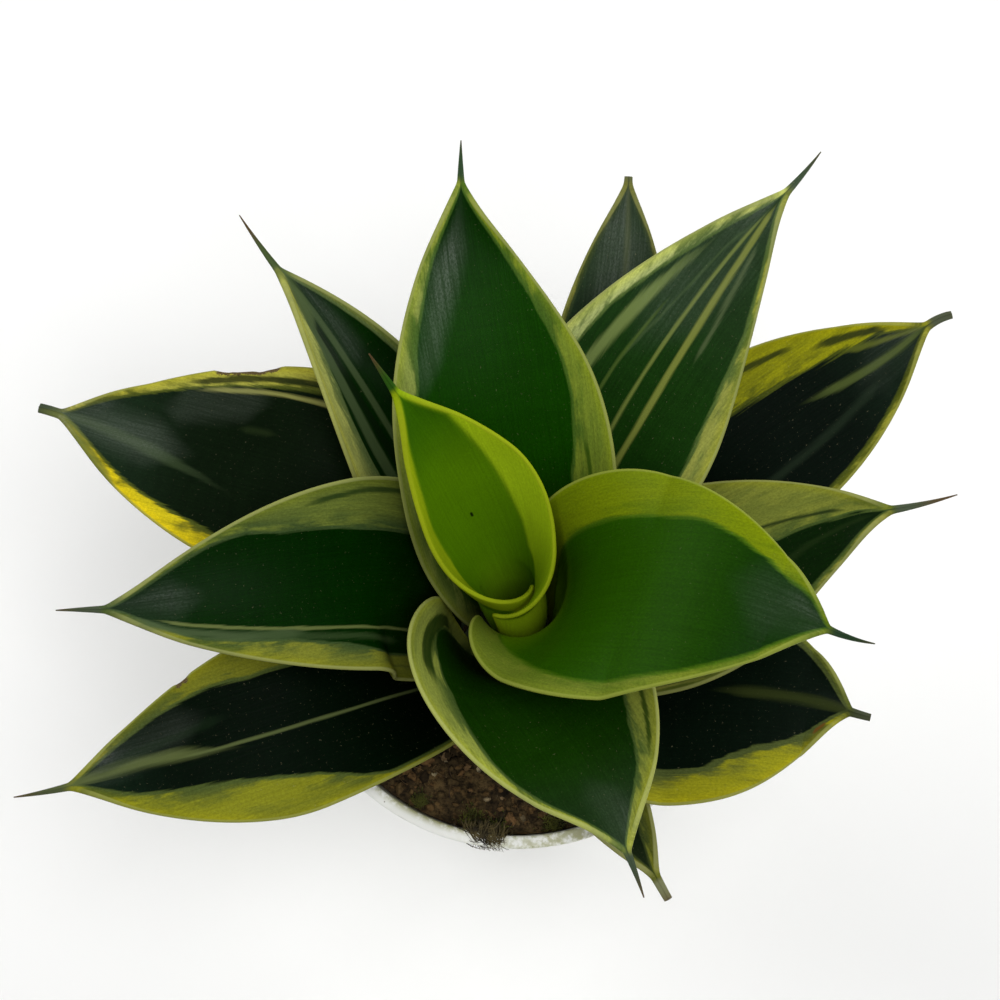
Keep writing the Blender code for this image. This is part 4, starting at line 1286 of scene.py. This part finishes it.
STREAKED_FORM = LeafForm(
    tier=17.3, base_azimuth=60, base_lean=76.5, tip_azimuth=54.5, reach=115.5, height=70.5,
    tip_lean=17, half_width=27, tip_turn=-10, widest=0.42, base_share=0.73, tip_fullness=1.45,
    cup=1.5, sheath_end=0.24, blade_start=0.55, twist_middle=3, pull_base=0.41, spike=11.5,
    spike_turn=7,
)
grow_leaf(
    6, STREAKED_FORM,
    clockwise=((0, 6), (0.44, 5.7), (0.52, 5.3), (0.62, 3.6), (0.72, 1.6), (0.86, 1), (1, 0.3)),
    anticlockwise=((0, 6), (0.45, 5.6), (0.54, 4.6), (0.62, 3.4), (0.8, 3.1), (0.9, 2.1), (1, 0.3)),
    skin={
        "Foot": (20, 50, 6), "Blade": (18, 48, 8), "Tip": (26, 48, 20), "Tip Start": 0.55,
        "Clockwise Pale": (140, 144, 66), "Anticlockwise Pale": (168, 178, 110),
        "Step": (72, 92, 42), "Rim": (140, 146, 84), "Awn": (60, 76, 54), "Fingers": 1.4,
        "Dust": 0.3,
    },
    streaks=(
        ((104, 120, 64), Streak(0.36, 0.68, 0.56, 0.58, 1.4, 0.9, soft=0.8, fade=0.18)),
        ((74, 94, 38), Streak(0.3, 0.62, 0.3, 0.34, 0.45, 0.7, soft=0.4, fade=0.1, wander=1.0)),
        ((102, 114, 52), Streak(0.3, 0.88, 0.03, 0.03, 0.45, 0.9, soft=0.35, fade=0.08, wander=0.8)),
        ((112, 120, 52), Streak(0.26, 0.92, -0.16, -0.24, 0.8, 0.95, soft=0.45, fade=0.05, wander=0.9)),
        ((78, 92, 58), Streak(0.66, 0.84, -0.41, -0.44, 0.5, 0.7, soft=0.5, fade=0.06)),
        ((60, 80, 44), Streak(0.6, 0.86, 0.3, 0.2, 0.4, 0.6, soft=0.4, fade=0.08)),
    ),
    shine=(Streak(0.7, 0.95, 0.2, 0.1, 8.0, 0.6, soft=5.0, fade=0.16),),
)

RIGHT_FORM = LeafForm(
    tier=18.9, base_azimuth=-19, base_lean=69.5, tip_azimuth=11, reach=94.5, height=49,
    tip_lean=14, half_width=26.5, tip_turn=-5, widest=0.43, base_share=0.47, tip_fullness=1.45,
    cup=4.5, blade_start=0.61, twist_middle=-3.5, pull_base=0.4, pull_tip=0.43, spike=15,
    spike_turn=8, spike_lift=2,
)
grow_leaf(
    7, RIGHT_FORM,
    clockwise=((0, 2.5), (0.6, 2.2), (0.74, 1.6), (0.9, 1), (1, 0.3)),
    anticlockwise=(
        (0, 17), (0.62, 17.5), (0.7, 16.3), (0.77, 12.4), (0.85, 8.3), (0.91, 4.2), (1, 0.4),
    ),
    skin={
        "Foot": (30, 52, 10), "Blade": (6, 26, 2), "Tip": (12, 28, 8), "Tip Start": 0.8,
        "Clockwise Pale": (122, 124, 60), "Anticlockwise Pale": (112, 118, 44),
        "Step": (60, 76, 32), "Rim": (136, 140, 80), "Awn": (72, 82, 62), "Fingers": 2.0,
        "Bands": 0.15,
    },
    streaks=(
        ((20, 36, 12), Streak(0.6, 0.84, 0.27, 0.3, 0.4, 0.85, soft=0.35, wander=0.8)),
        ((40, 56, 24), Streak(0.66, 0.9, -0.3, -0.2, 0.7, 0.25, soft=0.6)),
    ),
)

FOLDED_FORM = LeafForm(
    tier=18.8, base_azimuth=131.5, base_lean=74.5, tip_azimuth=127, reach=102, height=52,
    tip_lean=26.5, half_width=19, tip_turn=4, widest=0.47, base_share=0.59, tip_fullness=1.75,
    cup=61.5, sheath_end=0.28, blade_start=0.71, twist_middle=8, twist_tip=28.5, pull_base=0.39,
    pull_tip=0.39, spike=15.5, spike_turn=-5, spike_lift=1,
)
grow_leaf(
    8, FOLDED_FORM,
    clockwise=((0, 2), (0.6, 2), (0.8, 1.4), (1, 0.4)),
    anticlockwise=((0, 9), (0.6, 8.2), (0.76, 7.2), (0.9, 4), (1, 0.5)),
    skin={
        "Foot": (14, 36, 4), "Blade": (4, 32, 0), "Tip": (16, 38, 14), "Tip Start": 0.74,
        "Clockwise Pale": (100, 110, 64), "Anticlockwise Pale": (172, 176, 92),
        "Step": (82, 98, 54), "Rim": (140, 144, 84), "Awn": (68, 82, 52), "Fingers": 1.2,
    },
    streaks=(
        ((66, 82, 50), Streak(0.3, 0.92, 0.36, 0.3, 1.5, 0.85, soft=0.5, wander=0.8)),
        ((8, 26, 4), Streak(0.3, 0.8, 0.17, 0.17, 0.9, 0.95, soft=0.35, wander=0.8)),
        ((64, 80, 48), Streak(0.3, 0.9, 0.03, -0.04, 0.9, 0.85, soft=0.4, wander=0.8)),
        ((72, 88, 48), Streak(0.86, 1.04, 0.2, 0.0, 1.6, 0.7, soft=0.8)),
    ),
    shine=(Streak(0.74, 0.95, 0.0, 0.0, 6.0, 0.4, soft=4.0, fade=0.1),),
)


# The old leaves: the outer ring of low, nearly black leaves with yellow or olive margins. Their
# awns are broken off blunt, one margin is bitten, and one leaf is only a small cut stub in front.
BANDED_FORM = LeafForm(
    tier=20.7, base_azimuth=31, base_lean=67, tip_azimuth=33, reach=125.5, height=45.5,
    tip_lean=6.5, half_width=23.5, tip_turn=1, base_share=0.62, tip_fullness=2.05, cup=3,
    twist_middle=1.5, pull_base=0.41, spike=6, spike_turn=-23, spike_lift=-1, spike_end=0.9,
)
grow_leaf(
    9, BANDED_FORM,
    clockwise=((0, 1.4), (0.8, 1.6), (0.95, 0.8), (1, 0.3)),
    anticlockwise=(
        (0, 13), (0.55, 13.2), (0.64, 12.4), (0.74, 10.4), (0.85, 5.9), (0.9, 2.8), (1, 0.5),
    ),
    skin={
        "Foot": (4, 12, 3), "Blade": (3, 12, 5), "Tip": (16, 30, 18),
        "Clockwise Pale": (126, 128, 50), "Anticlockwise Pale": (138, 138, 14),
        "Step": (64, 72, 18), "Rim": (142, 144, 66), "Awn": (74, 80, 60), "Fingers": 3.0,
        "Dust": 0.3,
    },
    streaks=(
        ((34, 44, 14), Streak(0.61, 0.7, 0.78, 0.79, 0.9, 0.9, soft=0.5, fade=0.05)),
        ((30, 40, 16), Streak(0.8, 0.89, 0.7, 0.76, 1.0, 0.9, soft=0.5, fade=0.05)),
        ((74, 86, 40), Streak(0.76, 0.94, 0.0, -0.16, 1.1, 0.8, soft=0.7, fade=0.1)),
        ((84, 92, 30), Streak(0.84, 0.97, 0.42, 0.35, 0.8, 0.8, soft=0.6, fade=0.04)),
        ((30, 42, 28), Streak(0.5, 0.8, -0.45, -0.4, 1.0, 0.6, soft=0.8)),
    ),
    shine=(Streak(0.86, 0.96, -0.2, -0.1, 5.0, 0.35, soft=4.0, fade=0.1),),
)

BITTEN_FORM = LeafForm(
    tier=20.7, base_azimuth=134.5, base_lean=66.5, tip_azimuth=158, reach=127.5, height=36,
    tip_lean=0.5, half_width=30, tip_turn=3, widest=0.45, base_share=0.46, tip_fullness=1.85,
    cup=1, blade_start=0.61, twist_middle=5.5, spike=4.5, spike_turn=5, spike_lift=-3,
    spike_end=1.1,
    nicks=((-1, 0.6, 0.022, 0.9), (-1, 0.645, 0.04, 1.4), (-1, 0.69, 0.014, 0.6)),
)
grow_leaf(
    10, BITTEN_FORM,
    clockwise=((0, 7), (0.5, 6.4), (0.63, 5.6), (0.72, 4.7), (0.8, 3.4), (0.93, 0.9), (1, 0.4)),
    anticlockwise=((0, 6), (0.61, 5.7), (0.69, 5), (0.77, 3.7), (0.9, 2.4), (1, 0.5)),
    skin={
        "Foot": (8, 16, 6), "Blade": (8, 20, 6), "Tip": (22, 38, 22), "Tip Start": 0.66,
        # Clockwise Pale is the margin's own pale colour, made lighter by a painted sheen.
        "Clockwise Pale": (158, 156, 62), "Anticlockwise Pale": (200, 182, 24),
        "Step": (70, 78, 26), "Rim": (140, 142, 70), "Awn": (54, 60, 44), "Bands": 0.25,
        "Dust": 0.2,
    },
    streaks=(
        ((132, 132, 72), Streak(0.45, 0.68, -0.68, -0.72, 0.7, 0.9, soft=0.5, fade=0.06)),
        ((16, 28, 12), Streak(0.5, 0.72, -0.84, -0.86, 0.9, 0.85, soft=0.4, fade=0.05)),
        # Painted sheen: the grey-green streak down the middle of the blade's end is a highlight.
        ((56, 70, 44), Streak(0.78, 0.97, 0.18, 0.0, 1.4, 0.7, soft=1.0, fade=0.2)),
        ((98, 106, 44), Streak(0.86, 1.0, 0.97, 0.8, 1.6, 0.8, soft=0.8, fade=0.05)),
        ((32, 44, 20), Streak(0.565, 0.6, -0.31, -0.31, 0.9, 0.6, soft=0.8, fade=0.03, wander=0.8)),
    ),
    shine=(
        Streak(0.8, 0.97, 0.05, 0.0, 5.0, 1.6, soft=4.0, fade=0.12),
        Streak(0.62, 0.74, -0.6, -0.55, 5.0, 0.8, soft=3.0, fade=0.06),
    ),
)

LOW_RIGHT_FORM = LeafForm(
    tier=21.5, base_azimuth=305, base_lean=64, tip_azimuth=340.5, reach=87.5, height=32,
    tip_lean=1.5, half_width=29, tip_turn=1, widest=0.46, base_share=0.58, tip_fullness=2.35,
    cup=-13.5, blade_start=0.5, twist_middle=-13.5, pull_base=0.41, pull_tip=0.38, spike=4.5,
    spike_turn=4, spike_lift=1, spike_end=0.8,
)
grow_leaf(
    11, LOW_RIGHT_FORM,
    clockwise=(
        (0, 7), (0.46, 7.4), (0.55, 7.4), (0.64, 9.3), (0.71, 9.3), (0.81, 6.1), (0.9, 3), (1, 0.4),
    ),
    anticlockwise=((0, 1.8), (0.8, 1.8), (0.95, 1.2), (1, 0.4)),
    skin={
        "Foot": (8, 16, 6), "Blade": (6, 16, 8), "Tip": (10, 20, 12),
        "Clockwise Pale": (146, 144, 26), "Anticlockwise Pale": (94, 104, 48), "Step": (72, 82, 40),
        "Rim": (138, 142, 74), "Awn": (70, 76, 58), "Fingers": 1.8, "Step Width": 1.6, "Dust": 0.35,
    },
    streaks=(
        ((46, 54, 22), Streak(0.7, 0.96, 0.03, 0.0, 1.3, 0.85, soft=1.0, fade=0.14)),
        ((112, 70, 26), Streak(0.905, 0.925, -0.74, -0.74, 0.7, 0.8, soft=0.5, fade=0.012, wander=0.5)),
    ),
)

BACK_FORM = LeafForm(
    tier=22.7, base_azimuth=61.5, base_lean=64.5, tip_azimuth=75, reach=112, height=47.5,
    tip_lean=18, half_width=15, tip_turn=12, widest=0.51, tip_fullness=1.95, cup=8.5,
    twist_middle=1, pull_tip=0.38, spike=0.5, spike_end=0.9,
)
grow_leaf(
    12, BACK_FORM,
    clockwise=((0, 1), (0.8, 1), (1, 0.4)),
    anticlockwise=((0, 1.2), (0.8, 1.1), (1, 0.4)),
    skin={
        "Foot": (12, 26, 8), "Blade": (12, 34, 12), "Tip": (34, 50, 30), "Tip Start": 0.55,
        "Clockwise Pale": (110, 112, 56), "Anticlockwise Pale": (110, 112, 56),
        "Step": (44, 58, 30), "Rim": (120, 122, 64), "Awn": (92, 96, 68), "Fingers": 0.8,
        "Bands": 0.25, "Dust": 0.35,
    },
    streaks=(
        ((66, 74, 46), Streak(0.5, 0.97, -0.12, -0.1, 0.7, 0.8, soft=0.7, fade=0.08, wander=0.8)),
    ),
    shine=(Streak(0.7, 0.95, 0.0, 0.0, 6.0, 0.7, soft=4.0, fade=0.14),),
)

LOW_LEFT_FORM = LeafForm(
    tier=23.4, base_azimuth=214.5, base_lean=60.5, tip_azimuth=203.5, reach=120, height=33,
    tip_lean=1.5, half_width=23.5, tip_turn=-10, widest=0.48, base_share=0.74, tip_fullness=1.7,
    cup=1.5, blade_start=0.57, twist_middle=-0.5, pull_tip=0.34, spike=12.5, spike_turn=-5,
    spike_lift=1,
    nicks=((-1, 0.69, 0.018, 0.5),),
)
grow_leaf(
    13, LOW_LEFT_FORM,
    clockwise=(
        (0, 9.6), (0.42, 9.6), (0.54, 8.8), (0.63, 5.8), (0.72, 4.1), (0.85, 2.2), (0.95, 0.7),
        (1, 0.3),
    ),
    anticlockwise=(
        (0, 0.6), (0.36, 0.9), (0.4, 3), (0.43, 5.4), (0.47, 8.3), (0.54, 10), (0.64, 10.2),
        (0.74, 7.6), (0.88, 2.9), (1, 0.4),
    ),
    skin={
        "Foot": (2, 10, 2), "Blade": (2, 12, 3), "Tip": (12, 28, 16), "Tip Start": 0.72,
        "Clockwise Pale": (112, 114, 30), "Anticlockwise Pale": (122, 124, 26),
        "Step": (66, 78, 34), "Rim": (138, 142, 70), "Awn": (58, 66, 50), "Fingers": 1.6,
        "Dust": 0.3,
    },
    streaks=(
        ((88, 98, 54), Streak(0.76, 0.96, -0.03, -0.2, 1.4, 0.8, soft=1.0, fade=0.18)),
        ((84, 94, 54), Streak(0.08, 0.7, 0.12, 0.04, 0.4, 0.85, soft=0.3, wander=0.7)),
        ((18, 34, 16), Streak(0.66, 0.9, -0.3, -0.3, 1.2, 0.5, soft=0.8)),
    ),
    shine=(Streak(0.74, 0.9, -0.4, -0.35, 4.0, 0.6, soft=3.5, fade=0.1),),
)

STUB_FORM = LeafForm(
    tier=25.4, base_azimuth=290.5, base_lean=56, tip_azimuth=296, reach=77.5, height=27,
    tip_lean=9.5, half_width=11, tip_turn=1, widest=0.48, tip_fullness=1.8, cup=32,
    twist_middle=0.5, spike=5, spike_turn=1, spike_lift=1, spike_end=0.9,
)
grow_leaf(
    14, STUB_FORM,
    clockwise=((0, 2), (0.8, 1.6), (1, 0.4)),
    anticlockwise=((0, 5), (0.7, 4.6), (0.9, 2.4), (1, 0.6)),
    skin={
        "Foot": (10, 20, 8), "Blade": (12, 22, 8), "Tip": (24, 34, 16),
        "Clockwise Pale": (96, 102, 46), "Anticlockwise Pale": (106, 110, 40), "Step": (52, 62, 28),
        "Rim": (140, 142, 88), "Awn": (120, 122, 88), "Fingers": 2.0, "Bands": 0.25, "Dust": 0.4,
    },
)
